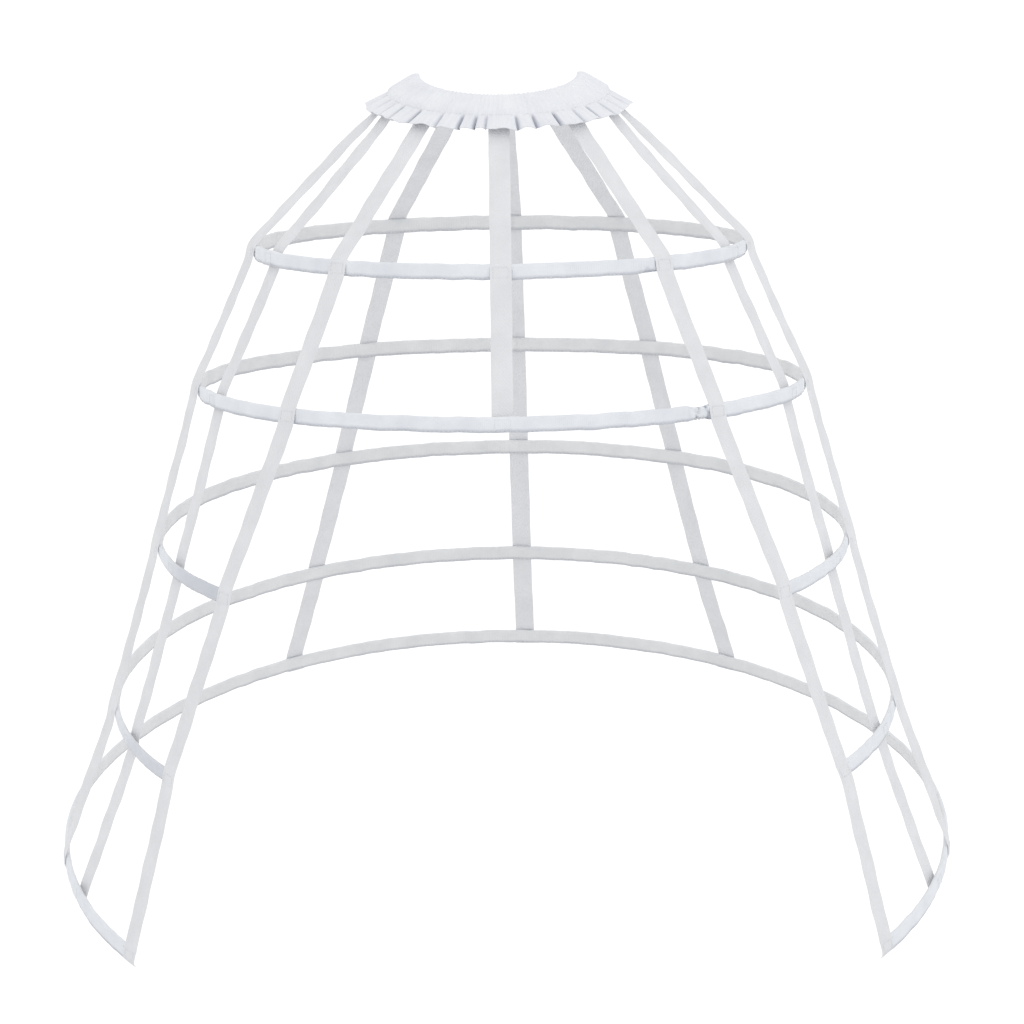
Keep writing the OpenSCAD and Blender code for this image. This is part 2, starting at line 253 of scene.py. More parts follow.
COVERING_ANGLES = [angle - (math.degrees(FRONT_COVER / RADII[k]) if k in OPEN_HOOPS else 0)
                   for k, angle in enumerate(FRONT_ANGLES)]
TAPE_ANGLES = {
    "front_centre_tape": [0, 0],
    "front_left_tape": [-angle for angle in COVERING_ANGLES],
    "front_right_tape": COVERING_ANGLES,
    "side_front_left_tape": drift(-67, -73),
    "side_front_right_tape": drift(69, 73),
    "side_back_left_tape": drift(-81, -82),
    "side_back_right_tape": drift(82, 82),
    "back_left_tape": early_drift(-154, -149),
    "back_right_tape": early_drift(150, 147),
    "back_centre_tape": drift(177, 177),
}
# The side front tapes run inside the hoops. All four side tapes are loose and turn a little to the front
INNER_TAPES = ("side_front_left_tape", "side_front_right_tape")
INNER_TURN = math.radians(8)
OUTER_TURN = math.radians(15)
SIDE_TURNS = {
    "side_front_left_tape": INNER_TURN,
    "side_front_right_tape": -INNER_TURN,
    "side_back_left_tape": OUTER_TURN,
    "side_back_right_tape": -OUTER_TURN,
}
print("tapes", len(TAPE_ANGLES))

# %% Places on the hoops, the casings and the band
UP = np.array([0.0, 0.0, 1.0])


def unit(v):
    """The same directions with a length of 1."""
    return v / np.linalg.norm(v, axis=-1, keepdims=True)


def smooth(share):
    """A share from 0 to 1 that starts and ends gently."""
    return share * share * (3 - 2 * share)


def radial(angle):
    """The direction outwards at an angle round the waist."""
    angle = np.radians(angle)
    return np.stack([np.sin(angle), -np.cos(angle), 0 * angle], -1)


def tangent(angle):
    """The direction round the waist, towards larger angles."""
    angle = np.radians(angle)
    return np.stack([np.cos(angle), np.sin(angle), 0 * angle], -1)


def arc(hoop, length):
    """The angle in degrees that a length takes up on a hoop."""
    return math.degrees(length / RADII[hoop])


def lean(hoop, v):
    """Turns a direction with its hoop, whose front falls."""
    c, s = math.cos(TILTS[hoop]), math.sin(TILTS[hoop])
    return np.stack([v[..., 0], v[..., 1] * c - v[..., 2] * s, v[..., 1] * s + v[..., 2] * c], -1)


def on_hoop(hoop, angle, radius, height):
    """A place on a hoop: an angle round it, a distance from its centre and a height above its middle."""
    angle = np.asarray(angle, float)
    up = np.stack([0 * angle, 0 * angle, 0 * angle + height], -1)
    out = np.asarray(radius)[..., None] * radial(angle) if np.ndim(radius) else radius * radial(angle)
    return np.array([0.0, hoop * SETBACK, -DROPS[hoop]]) + lean(hoop, out + up)


def casing_lean(hoop, angle):
    """How far a casing leans at an angle round its hoop. Its open ends follow the tapes' slope there."""
    angle = (np.asarray(angle, float) + 180) % 360 - 180
    past_end = np.radians(np.abs(angle) - FRONT_ANGLES[hoop]) * RADII[hoop] + TAPE_WIDTH / 2 - END_INSET
    left, right = END_LEANS[hoop]
    return np.where(angle < 0, left, right) * smooth(np.clip(1 - past_end / LEAN_REACH, 0, 1))


def on_casing(hoop, angle, out, height):
    """A place by a casing: how far out from the bone's middle and how high, along the leaning section."""
    turn = casing_lean(hoop, angle)
    c, s = np.cos(turn), np.sin(turn)
    return on_hoop(hoop, angle, RADII[hoop] + out * c - height * s, out * s + height * c)


def casing_way(hoop, angle, out, rise):
    """A direction by a casing, from its shares outwards and upwards."""
    turn = casing_lean(hoop, angle)[..., None]
    c, s = np.cos(turn), np.sin(turn)
    return lean(hoop, radial(angle) * (out * c - rise * s) + UP * (out * s + rise * c))


def on_band(angle, slope, out):
    """A place on the waistband: an angle, a length down its slope and a height over its inner face."""
    level = np.cos(np.radians(angle))
    edge = SIDE_RISE - np.where(level > 0, FRONT_DIP, -BACK_DIP) * level
    reach = WAIST_RADIUS + slope * math.cos(BAND_SLOPE) + out * math.sin(BAND_SLOPE)
    place = reach[..., None] * radial(angle) if np.ndim(reach) else reach * radial(angle)
    rise = edge - slope * math.sin(BAND_SLOPE) + out * math.cos(BAND_SLOPE)
    return place + np.stack([0 * rise, 0 * rise, rise], -1)


print("front of the band's top edge", on_band(0.0, 0.0, 0.0).round(3))

# %% [markdown]
# ## The cloth and thread
#
# Three cloths and a thread show. The tapes are cotton twill: a matt white with fine diagonal ribs and a firm
# edge. The casings are folded from a slightly bluish plain weave, and their inner side is the wrong side,
# painted a little greyer as painted shade for the inside of the cage. The band is a soft plain cotton. At
# one pixel for each millimetre the threads are too fine to show, so every weave is drawn about three times
# as coarse as the real one.

# %% Materials for cloth
COARSE = 3.0
TWILL_RIB = 0.0008 * COARSE
TWILL_TURN = 42
CASING_THREAD = 0.0006 * COARSE
BAND_THREAD = 0.0005 * COARSE
# A band texture repeats every pi / 10 units, so this over a spacing puts one thread in each spacing
WAVE_PERIOD = math.pi / 10
THREAD_WANDER = 0.6
CROSS_SPACING_SHARE = 0.8
CROSS_HEIGHT_SHARE = 0.5
HOLLOW_TONE = 0.985
WEAVE_RELIEF = 0.0004
MOTTLE_WIDTH = 0.025
MOTTLE_ENDS = (0.3, 0.7)
FOLD_TONE = "#9497A6"
ROUGHEST, SMOOTHEST = 0.92, 0.78


def cloth_material(name, colours, wrong_side, rib, turn, sheen):
    """A woven cloth on the piece's own UV map, in metres: raised threads, a mottle and a wrong side whose
    colour can carry painted shade.
    """
    made, tree = empty_material(name)
    flat = node(tree, "ShaderNodeUVMap", {"uv_map": "cloth"})
    turned = node(tree, "ShaderNodeMapping", None,
                  {"Vector": flat.outputs["UV"], "Rotation": (0.0, 0.0, math.radians(turn))})
    threads = []
    for direction, spacing in (("X", rib), ("Y", rib * CROSS_SPACING_SHARE)):
        threads.append(node(tree, "ShaderNodeTexWave",
                            {"wave_type": "BANDS", "bands_direction": direction, "wave_profile": "SIN"},
                            {"Vector": turned.outputs[0], "Scale": WAVE_PERIOD / spacing,
                             "Distortion": THREAD_WANDER, "Detail": 1.0}))
    weave = node(tree, "ShaderNodeMath", {"operation": "MULTIPLY_ADD"},
                 {0: threads[1].outputs["Fac"], 1: CROSS_HEIGHT_SHARE, 2: threads[0].outputs["Fac"]})
    # A soft mottle comes from washing and handling
    place = node(tree, "ShaderNodeTexCoord")
    mottle = node(tree, "ShaderNodeTexNoise", None,
                  {"Vector": place.outputs["Object"], "Scale": 1 / MOTTLE_WIDTH, "Detail": 3.0,
                   "Roughness": 0.55})
    shade = node(tree, "ShaderNodeValToRGB", None, {"Fac": mottle.outputs["Fac"]})
    for point, share in zip(shade.color_ramp.elements, MOTTLE_ENDS):
        point.position = share
    paint_ramp(shade, colours)
    # The wrong side's colour: on the casings a greyer tone that is painted shade on the hoops' inner faces
    inner = node(tree, "ShaderNodeAttribute", {"attribute_name": "wrong_side"})
    sided = node(tree, "ShaderNodeMix", {"data_type": "RGBA", "blend_type": "MULTIPLY"},
                 {0: inner.outputs["Fac"], 6: shade.outputs["Color"], 7: linear(wrong_side)})
    # The hollows between ribs hold a little shade
    hollow = node(tree, "ShaderNodeMapRange", None,
                  {"Value": weave.outputs[0], "From Min": 0.0, "From Max": 1 + CROSS_HEIGHT_SHARE,
                   "To Min": HOLLOW_TONE, "To Max": 1.0})
    woven = node(tree, "ShaderNodeMix", {"data_type": "RGBA", "blend_type": "MULTIPLY"},
                 {0: 1.0, 6: sided.outputs[2], 7: hollow.outputs["Result"]})
    # Deep folds keep out more light than the mesh shows, so they carry a shade of their own
    fold = node(tree, "ShaderNodeAttribute", {"attribute_name": "fold_shade"})
    folded = node(tree, "ShaderNodeMix", {"data_type": "RGBA", "blend_type": "MULTIPLY"},
                  {0: fold.outputs["Fac"], 6: woven.outputs[2], 7: linear(FOLD_TONE)})
    rough = node(tree, "ShaderNodeMapRange", None,
                 {"Value": mottle.outputs["Fac"], "To Min": SMOOTHEST, "To Max": ROUGHEST})
    bump = node(tree, "ShaderNodeBump", None,
                {"Height": weave.outputs[0], "Strength": 0.35, "Distance": WEAVE_RELIEF})
    skin = node(tree, "ShaderNodeBsdfPrincipled", None,
                {"Base Color": folded.outputs[2], "Roughness": rough.outputs["Result"],
                 "Normal": bump.outputs["Normal"], "IOR": 1.45, "Specular IOR Level": 0.25,
                 "Sheen Weight": sheen, "Sheen Roughness": 0.5})
    node(tree, "ShaderNodeOutputMaterial", None, {"Surface": skin.outputs[0]})
    return made


twill = cloth_material("cotton_twill_tape", ("#E3E4E7", "#EAEBEE"), "#FDFDFD", TWILL_RIB, TWILL_TURN, 0.15)
# The casings' wrong side is a little greyer: painted shade on the inner faces, which face into the cage
casing_cloth = cloth_material("plain_casing_cloth", ("#E5E9EF", "#EFF2F7"), "#F9F7F3", CASING_THREAD, 0, 0.2)
band_cotton = cloth_material("soft_gathered_cotton", ("#EEF0F6", "#F5F7FB"), "#EDEDEE", BAND_THREAD, 0, 0.25)
print("cloths", [m.name for m in (twill, casing_cloth, band_cotton)])

# %% Materials for thread, elastic and bone
THREAD_TWIST = 0.0011
ELASTIC_KNIT = 0.0014
BONE_STREAK = 0.0045
SLEEVE_CLOUD = 0.0029
GRAIN_RELIEF = 0.0003

thread, thread_tree = empty_material("spun_polyester_thread")
thread_place = node(thread_tree, "ShaderNodeTexCoord")
thread_twist = node(thread_tree, "ShaderNodeTexNoise", None,
                    {"Vector": thread_place.outputs["Object"], "Scale": 1 / THREAD_TWIST, "Detail": 2.0})
thread_shade = node(thread_tree, "ShaderNodeValToRGB", None, {"Fac": thread_twist.outputs["Fac"]})
paint_ramp(thread_shade, ("#D6D8DD", "#F2F3F6"))
thread_skin = node(thread_tree, "ShaderNodeBsdfPrincipled", None,
                   {"Base Color": thread_shade.outputs["Color"], "Roughness": 0.55, "IOR": 1.5})
node(thread_tree, "ShaderNodeOutputMaterial", None, {"Surface": thread_skin.outputs[0]})


def hidden_material(name, colours, grain_width, rough):
    """A finish for the pieces inside the cloth: a streaked colour and a grain, on Object coordinates."""
    made, tree = empty_material(name)
    place = node(tree, "ShaderNodeTexCoord")
    grain = node(tree, "ShaderNodeTexNoise", None,
                 {"Vector": place.outputs["Object"], "Scale": 1 / grain_width, "Detail": 4.0})
    shade = node(tree, "ShaderNodeValToRGB", None, {"Fac": grain.outputs["Fac"]})
    paint_ramp(shade, colours)
    bump = node(tree, "ShaderNodeBump", None,
                {"Height": grain.outputs["Fac"], "Strength": 0.2, "Distance": GRAIN_RELIEF})
    skin = node(tree, "ShaderNodeBsdfPrincipled", None,
                {"Base Color": shade.outputs["Color"], "Roughness": rough, "IOR": 1.5,
                 "Normal": bump.outputs["Normal"]})
    node(tree, "ShaderNodeOutputMaterial", None, {"Surface": skin.outputs[0]})
    return made


knit_elastic = hidden_material("knitted_elastic", ("#DAD8D0", "#EFEDE6"), ELASTIC_KNIT, 0.85)
bone_plastic = hidden_material("extruded_bone_plastic", ("#DCDCD8", "#EDEDEA"), BONE_STREAK, 0.45)
sleeve_plastic = hidden_material("moulded_sleeve_plastic", ("#CFCFCC", "#E2E2E0"), SLEEVE_CLOUD, 0.35)

HIDDEN_FINISHES = {"waist_elastic": knit_elastic, "_bone": bone_plastic,
                   "_joiner": sleeve_plastic, "_bone_tips": sleeve_plastic}
for name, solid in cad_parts.items():
    for ending, finish in HIDDEN_FINISHES.items():
        if name.endswith(ending):
            for slot in solid.material_slots:
                slot.material = finish
print("finishes on the solids inside the cloth")

# %% [markdown]
# ## From arrays to a piece
#
# Each soft piece is a closed skin of quads: rings of points that follow each other along a tape or round the
# waist. Its UV map holds real metres, so the weave has one size everywhere, and an attribute tells the right
# side of the cloth from the wrong side, whose colour on the casings is also painted shade.

# %% A skin from rings of points
SHARP_ANGLE = math.radians(55)


def finish_piece(mesh, name, material, solids):
    """Turns the faces outwards, smooths them, gives the piece its material and body, and hides its solids.
    """
    skin = bmesh.new()
    skin.from_mesh(mesh)
    bmesh.ops.recalc_face_normals(skin, faces=skin.faces)
    skin.to_mesh(mesh)
    skin.free()
    mesh.shade_smooth()
    mesh.set_sharp_from_angle(angle=SHARP_ANGLE)
    mesh.materials.clear()
    mesh.materials.append(material)
    piece = bpy.data.objects.new(name, mesh)
    scene.collection.objects.link(piece)
    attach(piece, "root")
    if solids:
        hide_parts(*solids)
    return piece


def ring_mesh(name, places, flat, inner_side_share, closed):
    """A skin over rings of points. A closed skin meets itself, and an open one has caps of quads."""
    rings, size = places.shape[:2]
    faces = []
    for k in range(rings if closed else rings - 1):
        after = (k + 1) % rings
        for j in range(size):
            beside = (j + 1) % size
            faces.append((k * size + j, k * size + beside, after * size + beside, after * size + j))
    if not closed:
        for start in (0, (rings - 1) * size):
            for j in range(size // 2 - 1):
                faces.append((start + j, start + j + 1, start + size - 2 - j, start + size - 1 - j))
    mesh = bpy.data.meshes.new(name)
    mesh.from_pydata(places.reshape(-1, 3).tolist(), [], faces)
    corners = np.empty(len(mesh.loops), np.int32)
    mesh.loops.foreach_get("vertex_index", corners)
    uv = mesh.uv_layers.new(name="cloth")
    uv.data.foreach_set("uv", flat.reshape(-1, 2)[corners].astype(np.float32).ravel())
    side = mesh.attributes.new("wrong_side", "FLOAT", "POINT")
    side.data.foreach_set("value", inner_side_share.ravel().astype(np.float32))
    return mesh


print("edges past", round(math.degrees(SHARP_ANGLE)), "degrees stay sharp")

# %% [markdown]
# ## The tapes
#
# Each tape is sewn under the waistband, runs straight to the first hoop, passes over its casing, and so on
# to the hem, where it is folded round the last casing. A strip that bends over a few edges is easiest as
# stations: a place, a direction across and a direction out. They are spaced evenly and rounded a little
# where the tape bends. Between the hoops the cloth cups and ripples by a few tenths of a millimetre.

# %% Stations of a tape
# How steeply a tape comes down to each hoop, from upright, and how far it leans out below the hoop's fold
ARRIVALS = [math.radians(angle) for angle in (44, 22, 16, 16, 0)]
TAPE_LEAN = math.tan(math.radians(10))
HEM_FOLD = math.radians(110)
FOLD_STEPS = 5
# How far out a casing's face seats a tape, and how high the middle of its upper fold is
FACE_REACH = CASING_THICKNESS / 2 + SEAT_GAP
FOLD_MIDDLE = CASING_HEIGHT / 2 - CASING_THICKNESS / 2


def tucked(angle):
    """Under the band, both edges of the tape follow the band's inner face."""
    rows = []
    for slope in (CHANNEL_LENGTH - TAPE_TUCK, CHANNEL_LENGTH):
        turn = math.degrees(math.asin(TAPE_WIDTH / 2 / (WAIST_RADIUS + slope * math.cos(BAND_SLOPE))))
        left, right = (on_band(angle + side * turn, slope, -TAPE_THICKNESS - SEAT_GAP) for side in (-1, 1))
        down = math.cos(BAND_SLOPE) * radial(angle) - math.sin(BAND_SLOPE) * UP
        rows.append(((left + right) / 2, unit(right - left), unit(np.cross(down, right - left))))
    return rows


def stand_off(height):
    """How far a tape has left a casing's face at a height: it hangs clear below the upper fold."""
    return max(0.0, TAPE_LEAN * (FOLD_MIDDLE - height))


def over_hoop(hoop, angle):
    """Over a casing's upper fold and down its face."""
    rows = []
    for fold in (ARRIVALS[hoop], ARRIVALS[hoop] / 2):
        height = FOLD_MIDDLE + FACE_REACH * math.sin(fold)
        out = casing_way(hoop, angle, math.cos(fold), math.sin(fold))
        rows.append((on_casing(hoop, angle, FACE_REACH * math.cos(fold), height), out))
    for height in (FOLD_MIDDLE, -CASING_HEIGHT / 2):
        place = on_casing(hoop, angle, FACE_REACH + stand_off(height), height)
        rows.append((place, casing_way(hoop, angle, 1, 0)))
    return [(place, lean(hoop, tangent(angle)), out) for place, out in rows]


def behind_hoop(hoop, angle):
    """Down the inner face of a casing, which the tape meets at its lower edge. Both edges clear the ring."""
    clear = (RADII[hoop] - CASING_THICKNESS / 2) * math.cos(HOOP_STEP / 2) - SEAT_GAP
    behind = math.sqrt(clear ** 2 - (TAPE_WIDTH / 2) ** 2) - TAPE_THICKNESS - RADII[hoop]
    return [(on_casing(hoop, angle, behind - TAPE_LEAN * (height + CASING_HEIGHT / 2), height),
             lean(hoop, tangent(angle)), casing_way(hoop, angle, 1, 0))
            for height in (CASING_HEIGHT / 2, -CASING_HEIGHT / 2)]


def round_hem(hoop, angle):
    """Down the last casing's face and under its lower edge."""
    across = lean(hoop, tangent(angle))
    rows = [(on_casing(hoop, angle, FACE_REACH, CASING_HEIGHT / 2), across, casing_way(hoop, angle, 1, 0))]
    for k in range(FOLD_STEPS + 1):
        fold = HEM_FOLD * k / FOLD_STEPS
        height = -FOLD_MIDDLE - FACE_REACH * math.sin(fold)
        place = on_casing(hoop, angle, FACE_REACH * math.cos(fold), height)
        rows.append((place, across, casing_way(hoop, angle, math.cos(fold), -math.sin(fold))))
    return rows


def inside(name, hoop):
    """Whether a tape passes inside a hoop: the side front tapes do, and the front centre tape at its end."""
    return name in INNER_TAPES or (name == "front_centre_tape" and hoop == 1)


def tape_stations(name, angles):
    """A tape's stations, and which of them is the first one on its last hoop."""
    rows = tucked(angles[0])
    for hoop, angle in enumerate(angles):
        last_seat = len(rows)
        if inside(name, hoop):
            rows += behind_hoop(hoop, angle)
        elif hoop == LAST_HOOP:
            rows += round_hem(hoop, angle)
        else:
            rows += over_hoop(hoop, angle)
    return rows, last_seat


print("stations", {name: len(tape_stations(name, angles)[0]) for name, angles in TAPE_ANGLES.items()})

# %% Even spacing, soft bends and loose turns
TAPE_STEP = 0.0025
BEND_PASSES = 3
SOFT_PASSES = 5
FIRM_END = 0.014
# A tape is held this near to a station, and free past the second length
SEATED = (0.012, 0.035)
TURN_LENGTH = 0.07


def spaced(rows, last_seat):
    """Even stations along a tape, with its bends rounded, and how free the cloth is at each of them."""
    places, across, out = (np.array([row[k] for row in rows]) for k in range(3))
    marks = np.concatenate([[0], np.cumsum(np.linalg.norm(np.diff(places, axis=0), axis=1))])
    along = np.linspace(0, marks[-1], int(marks[-1] / TAPE_STEP) + 1)
    even = [np.stack([np.interp(along, marks, v[:, k]) for k in range(3)], 1) for v in (places, across, out)]
    # The tape bends softly over the hoops, and firmly where it is tucked and where it ends
    soft_here = (along > marks[1] + FIRM_END) & (along < marks[last_seat] - FIRM_END)
    for v in even:
        for turn in range(SOFT_PASSES):
            mean = 0.25 * v[:-2] + 0.5 * v[1:-1] + 0.25 * v[2:]
            v[1:-1] = mean if turn < BEND_PASSES else np.where(soft_here[1:-1, None], mean, v[1:-1])
    near = np.min(np.abs(along[:, None] - marks[None, :]), axis=1)
    free = smooth(np.clip((near - SEATED[0]) / (SEATED[1] - SEATED[0]), 0, 1))
    return along, marks, even[0], unit(even[1]), even[2], free


def turned_share(name, along, marks, last_seat):
    """How far a tape is turned along its way: not under the band, nor where it is folded round the hem."""
    hem = marks[-1] + TURN_LENGTH if name in INNER_TAPES else marks[last_seat]
    return smooth(np.clip(np.minimum(along - marks[1], hem - along) / TURN_LENGTH, 0, 1))


def turned_ways(across, out, turn):
    """The directions across and out of a tape after it turns about its own length."""
    return across * np.cos(turn) - out * np.sin(turn), out * np.cos(turn) + across * np.sin(turn)


print("a station every", TAPE_STEP * 1000, "mm")

# %% Tapes from their stations
TAPE_COLUMNS = 11
HUG_RADIUS = 0.3
CUP = 0.0005
RIPPLE = 0.0003
RIPPLE_SHARE = 0.6
SWAY = 0.0002
# Waves of the free cloth, in radians a metre: long and short ones along it, at its edges and sideways
LONG_WAVE, SHORT_WAVE, EDGE_WAVE, SWAY_WAVE = 61, 137, 173, 83
SHORT_PHASE, EDGE_PHASE = 2.1, 1.7
# A firm edge, thinned at the very rim: shares of the half width, and of the thickness there
RIM_SHARES = [0, 0.8, 0.9, 0.97, 1]
RIM_THICKNESS_SHARES = [0.86, 0.86, 1, 0.9, 0.45]


def make_tape(number, name, angles):
    """A tape's piece and its length. The number sets where its waves begin, so no two tapes are alike."""
    rows, last_seat = tape_stations(name, angles)
    along, marks, middle, across, rough_out, free = spaced(rows, last_seat)
    way = unit(np.gradient(middle, axis=0))
    out = unit(np.cross(way, across))
    out = np.where((out * rough_out).sum(1, keepdims=True) < 0, -out, out)
    if name in SIDE_TURNS:
        turn = (SIDE_TURNS[name] * turned_share(name, along, marks, last_seat))[:, None]
        # One edge stays on the casing: outside a hoop the back edge stands off, inside it the front one
        way_off = -1.0 if name in INNER_TAPES else 1.0
        middle = middle + way_off * out * np.abs(np.sin(turn)) * TAPE_WIDTH / 2
        across, out = turned_ways(across, out, turn)
    share = np.linspace(-1, 1, TAPE_COLUMNS)
    thick = TAPE_THICKNESS * np.interp(np.abs(share), RIM_SHARES, RIM_THICKNESS_SHARES)
    long_wave = np.sin(along * LONG_WAVE + number)
    short_wave = np.sin(along * SHORT_WAVE + SHORT_PHASE * number)
    edge_wave = np.sin(along * EDGE_WAVE + EDGE_PHASE * number)
    sway = np.sin(along * SWAY_WAVE + number)
    ripple = (long_wave + RIPPLE_SHARE * short_wave)[:, None] * RIPPLE * RIPPLE_SHARE
    edge_ripple = edge_wave[:, None] * share * np.abs(share) * RIPPLE
    lift = free[:, None] * (ripple + edge_ripple - CUP * share ** 2)
    side = share[None, :] * TAPE_WIDTH / 2 + free[:, None] * sway[:, None] * SWAY
    if name not in SIDE_TURNS:
        # On a casing the edges follow its curve
        lift = lift - (1 - free[:, None]) * side ** 2 / (2 * HUG_RADIUS)
    base = middle[:, None, :] + side[..., None] * across[:, None, :] + lift[..., None] * out[:, None, :]
    slack = (TAPE_THICKNESS - thick) / 2
    inner = base + slack[None, :, None] * out[:, None, :]
    outer = base + (TAPE_THICKNESS - slack)[None, :, None] * out[:, None, :]
    places = np.concatenate([outer, inner[:, ::-1]], 1)
    width = np.concatenate([share, share[::-1]]) * TAPE_WIDTH / 2
    flat = np.stack(np.broadcast_arrays(width[None, :], along[:, None]), -1)
    inner_side_share = np.broadcast_to(np.repeat([0.0, 1.0], len(share)), places.shape[:2])
    mesh = ring_mesh(name + "_cloth", places, flat, inner_side_share, False)
    piece = finish_piece(mesh, name + "_cloth", twill, [name])
    return piece, along[-1]


for number, (name, angles) in enumerate(TAPE_ANGLES.items()):
    tape, tape_length = make_tape(number, name, angles)
    print(name, "length", round(tape_length, 3))

# %% [markdown]
# ## The casings
#
# A casing is a strip of cloth, folded over its bone at the top and sewn along its lower edge. The same
# section follows each hoop's arc, so this is a job for Geometry Nodes: one tree sweeps a drawn section along
# an arc, sews the open ends flat, puckers the cloth with noise and leans the ends with their tapes. The
# section is drawn once, as a small loop of edges.

# %% The section of a casing
# Heights over the lower edge at which the sewn layers part, open, round off and reach their full thickness
SEAM_RISES = (0.0011, 0.0019, 0.0030, 0.0045)
SEAM_SHARE = 0.45
ROUNDING_SHARE = 0.94
# The upper fold is round: where it starts, in half thicknesses below the top, and the angles of its points
FOLD_START_SHARE = 1.3
INNER_FOLD_SHARE = 0.7
FOLD_ANGLES = (22, 45, 68)


def casing_section():
    """The folded strip: its outer face from edge to edge over the fold, and then its inner face."""
    half, top = CASING_THICKNESS / 2, CASING_HEIGHT / 2
    low, seam = SEAT_GAP - top, SEAT_GAP / 2 + CASING_WALL
    parted, opened, rounded, full = (low + rise for rise in SEAM_RISES)
    side = [(seam, low), (seam, parted), (seam + (half - seam) * SEAM_SHARE, opened),
            (half * ROUNDING_SHARE, rounded), (half, full), (half, 0.0),
            (half, top - half * FOLD_START_SHARE)]
    fold = [(half * math.cos(turn), top - half + half * math.sin(turn)) for turn in np.radians(FOLD_ANGLES)]
    right = side + fold
    outer = [(-x, y) for x, y in right] + [(0.0, top)] + right[::-1]
    inner = []
    for x, y in outer:
        if abs(x) <= seam:
            inner.append((math.copysign(SEAT_GAP / 2, x) if x else 0.0, y - (CASING_WALL if y > 0 else 0)))
        else:
            pull = CASING_WALL / max(abs(x), CASING_WALL)
            inner.append((x * (1 - pull), y - (CASING_WALL if y > top - half * INNER_FOLD_SHARE else 0)))
    return outer + inner[::-1]


section_points = casing_section()
section_mesh = bpy.data.meshes.new("casing_section")
section_mesh.from_pydata([(x, y, 0.0) for x, y in section_points],
                         [(k, (k + 1) % len(section_points)) for k in range(len(section_points))], [])
section = bpy.data.objects.new("casing_section", section_mesh)
scene.collection.objects.link(section)
print("section points", len(section_points))

# %% The casing's tree: the section swept along an arc


def tree_with(name, sockets):
    """An empty geometry tree with a geometry input and output, and named inputs with their types."""
    made = bpy.data.node_groups.new(name, "GeometryNodeTree")
    made.interface.new_socket("Geometry", in_out="INPUT", socket_type="NodeSocketGeometry")
    for label, kind in sockets:
        made.interface.new_socket(label, in_out="INPUT", socket_type="NodeSocket" + kind)
    made.interface.new_socket("Geometry", in_out="OUTPUT", socket_type="NodeSocketGeometry")
    return made, node(made, "NodeGroupInput").outputs


casing_tree, casing_in = tree_with("casing_on_a_hoop", [
    ("Section", "Object"), ("Radius", "Float"), ("Start", "Float"), ("Sweep", "Float"), ("Stations", "Int"),
    ("Closed", "Bool"), ("End Length", "Float"), ("End Slant", "Float"), ("Flattening", "Float"),
    ("Pucker", "Float"), ("Join", "Float"), ("Join Pucker", "Float"), ("Seed", "Float"), ("Tilt", "Vector"),
    ("Place", "Vector"), ("Edge Shade", "Float"), ("Left Shade", "Float"), ("Left Lean", "Float"),
    ("Right Lean", "Float"), ("Cloth", "Material")])
tree = casing_tree
curve = node(tree, "GeometryNodeCurveArc", {"mode": "RADIUS"},
             {"Resolution": casing_in["Stations"], "Radius": casing_in["Radius"],
              "Start Angle": casing_in["Start"], "Sweep Angle": casing_in["Sweep"]})
closed_curve = node(tree, "GeometryNodeSetSplineCyclic", None,
                    {"Geometry": curve.outputs["Curve"], "Cyclic": casing_in["Closed"]})
measure = node(tree, "GeometryNodeSplineParameter")
arc_known = node(tree, "GeometryNodeCaptureAttribute", {"domain": "POINT"},
                 {"Geometry": closed_curve.outputs[0]})
arc_known.capture_items.new("FLOAT", "length")
tree.links.new(measure.outputs["Length"], arc_known.inputs["length"])

drawn = node(tree, "GeometryNodeObjectInfo", None, {"Object": casing_in["Section"]})
outline = node(tree, "GeometryNodeMeshToCurve", None, {"Mesh": drawn.outputs["Geometry"]})
section_known = node(tree, "GeometryNodeCaptureAttribute", {"domain": "POINT"},
                     {"Geometry": outline.outputs[0]})
section_known.capture_items.new("VECTOR", "drawn")
section_known.capture_items.new("FLOAT", "round")
tree.links.new(node(tree, "GeometryNodeInputPosition").outputs[0], section_known.inputs["drawn"])
tree.links.new(measure.outputs["Length"], section_known.inputs["round"])
uncapped = node(tree, "FunctionNodeBooleanMath", {"operation": "NOT"}, {0: casing_in["Closed"]})
swept = node(tree, "GeometryNodeCurveToMesh", None,
             {"Curve": arc_known.outputs["Geometry"], "Profile Curve": section_known.outputs["Geometry"],
              "Fill Caps": uncapped.outputs[0]})
length = arc_known.outputs["length"]
xy = node(tree, "ShaderNodeSeparateXYZ", None, {"Vector": section_known.outputs["drawn"]})
print("casing tree nodes so far", len(casing_tree.nodes))

# %% The casing's tree: flat ends
# Near an open end the two layers are sewn flat: both are moved in until they meet
total = node(tree, "ShaderNodeMath", {"operation": "MULTIPLY"},
             {0: casing_in["Radius"], 1: casing_in["Sweep"]})
far = node(tree, "ShaderNodeMath", {"operation": "SUBTRACT"}, {0: total.outputs[0], 1: length})
end = node(tree, "ShaderNodeMath", {"operation": "MINIMUM"}, {0: length, 1: far.outputs[0]})
opened = node(tree, "ShaderNodeMapRange", {"interpolation_type": "SMOOTHSTEP"},
              {"Value": end.outputs[0], "From Min": 0.0, "From Max": casing_in["End Length"],
               "To Min": casing_in["Flattening"], "To Max": 0.0})
cut = node(tree, "GeometryNodeSwitch", {"input_type": "FLOAT"},
           {"Switch": casing_in["Closed"], "False": opened.outputs[0], "True": 0.0})
half_width = node(tree, "ShaderNodeMath", {"operation": "ABSOLUTE"}, {0: xy.outputs["X"]})
moved_in = node(tree, "ShaderNodeMath", {"operation": "SUBTRACT"},
                {0: half_width.outputs[0], 1: cut.outputs[0]})
least = node(tree, "ShaderNodeMath", {"operation": "MINIMUM"}, {0: half_width.outputs[0], 1: SEAT_GAP / 4})
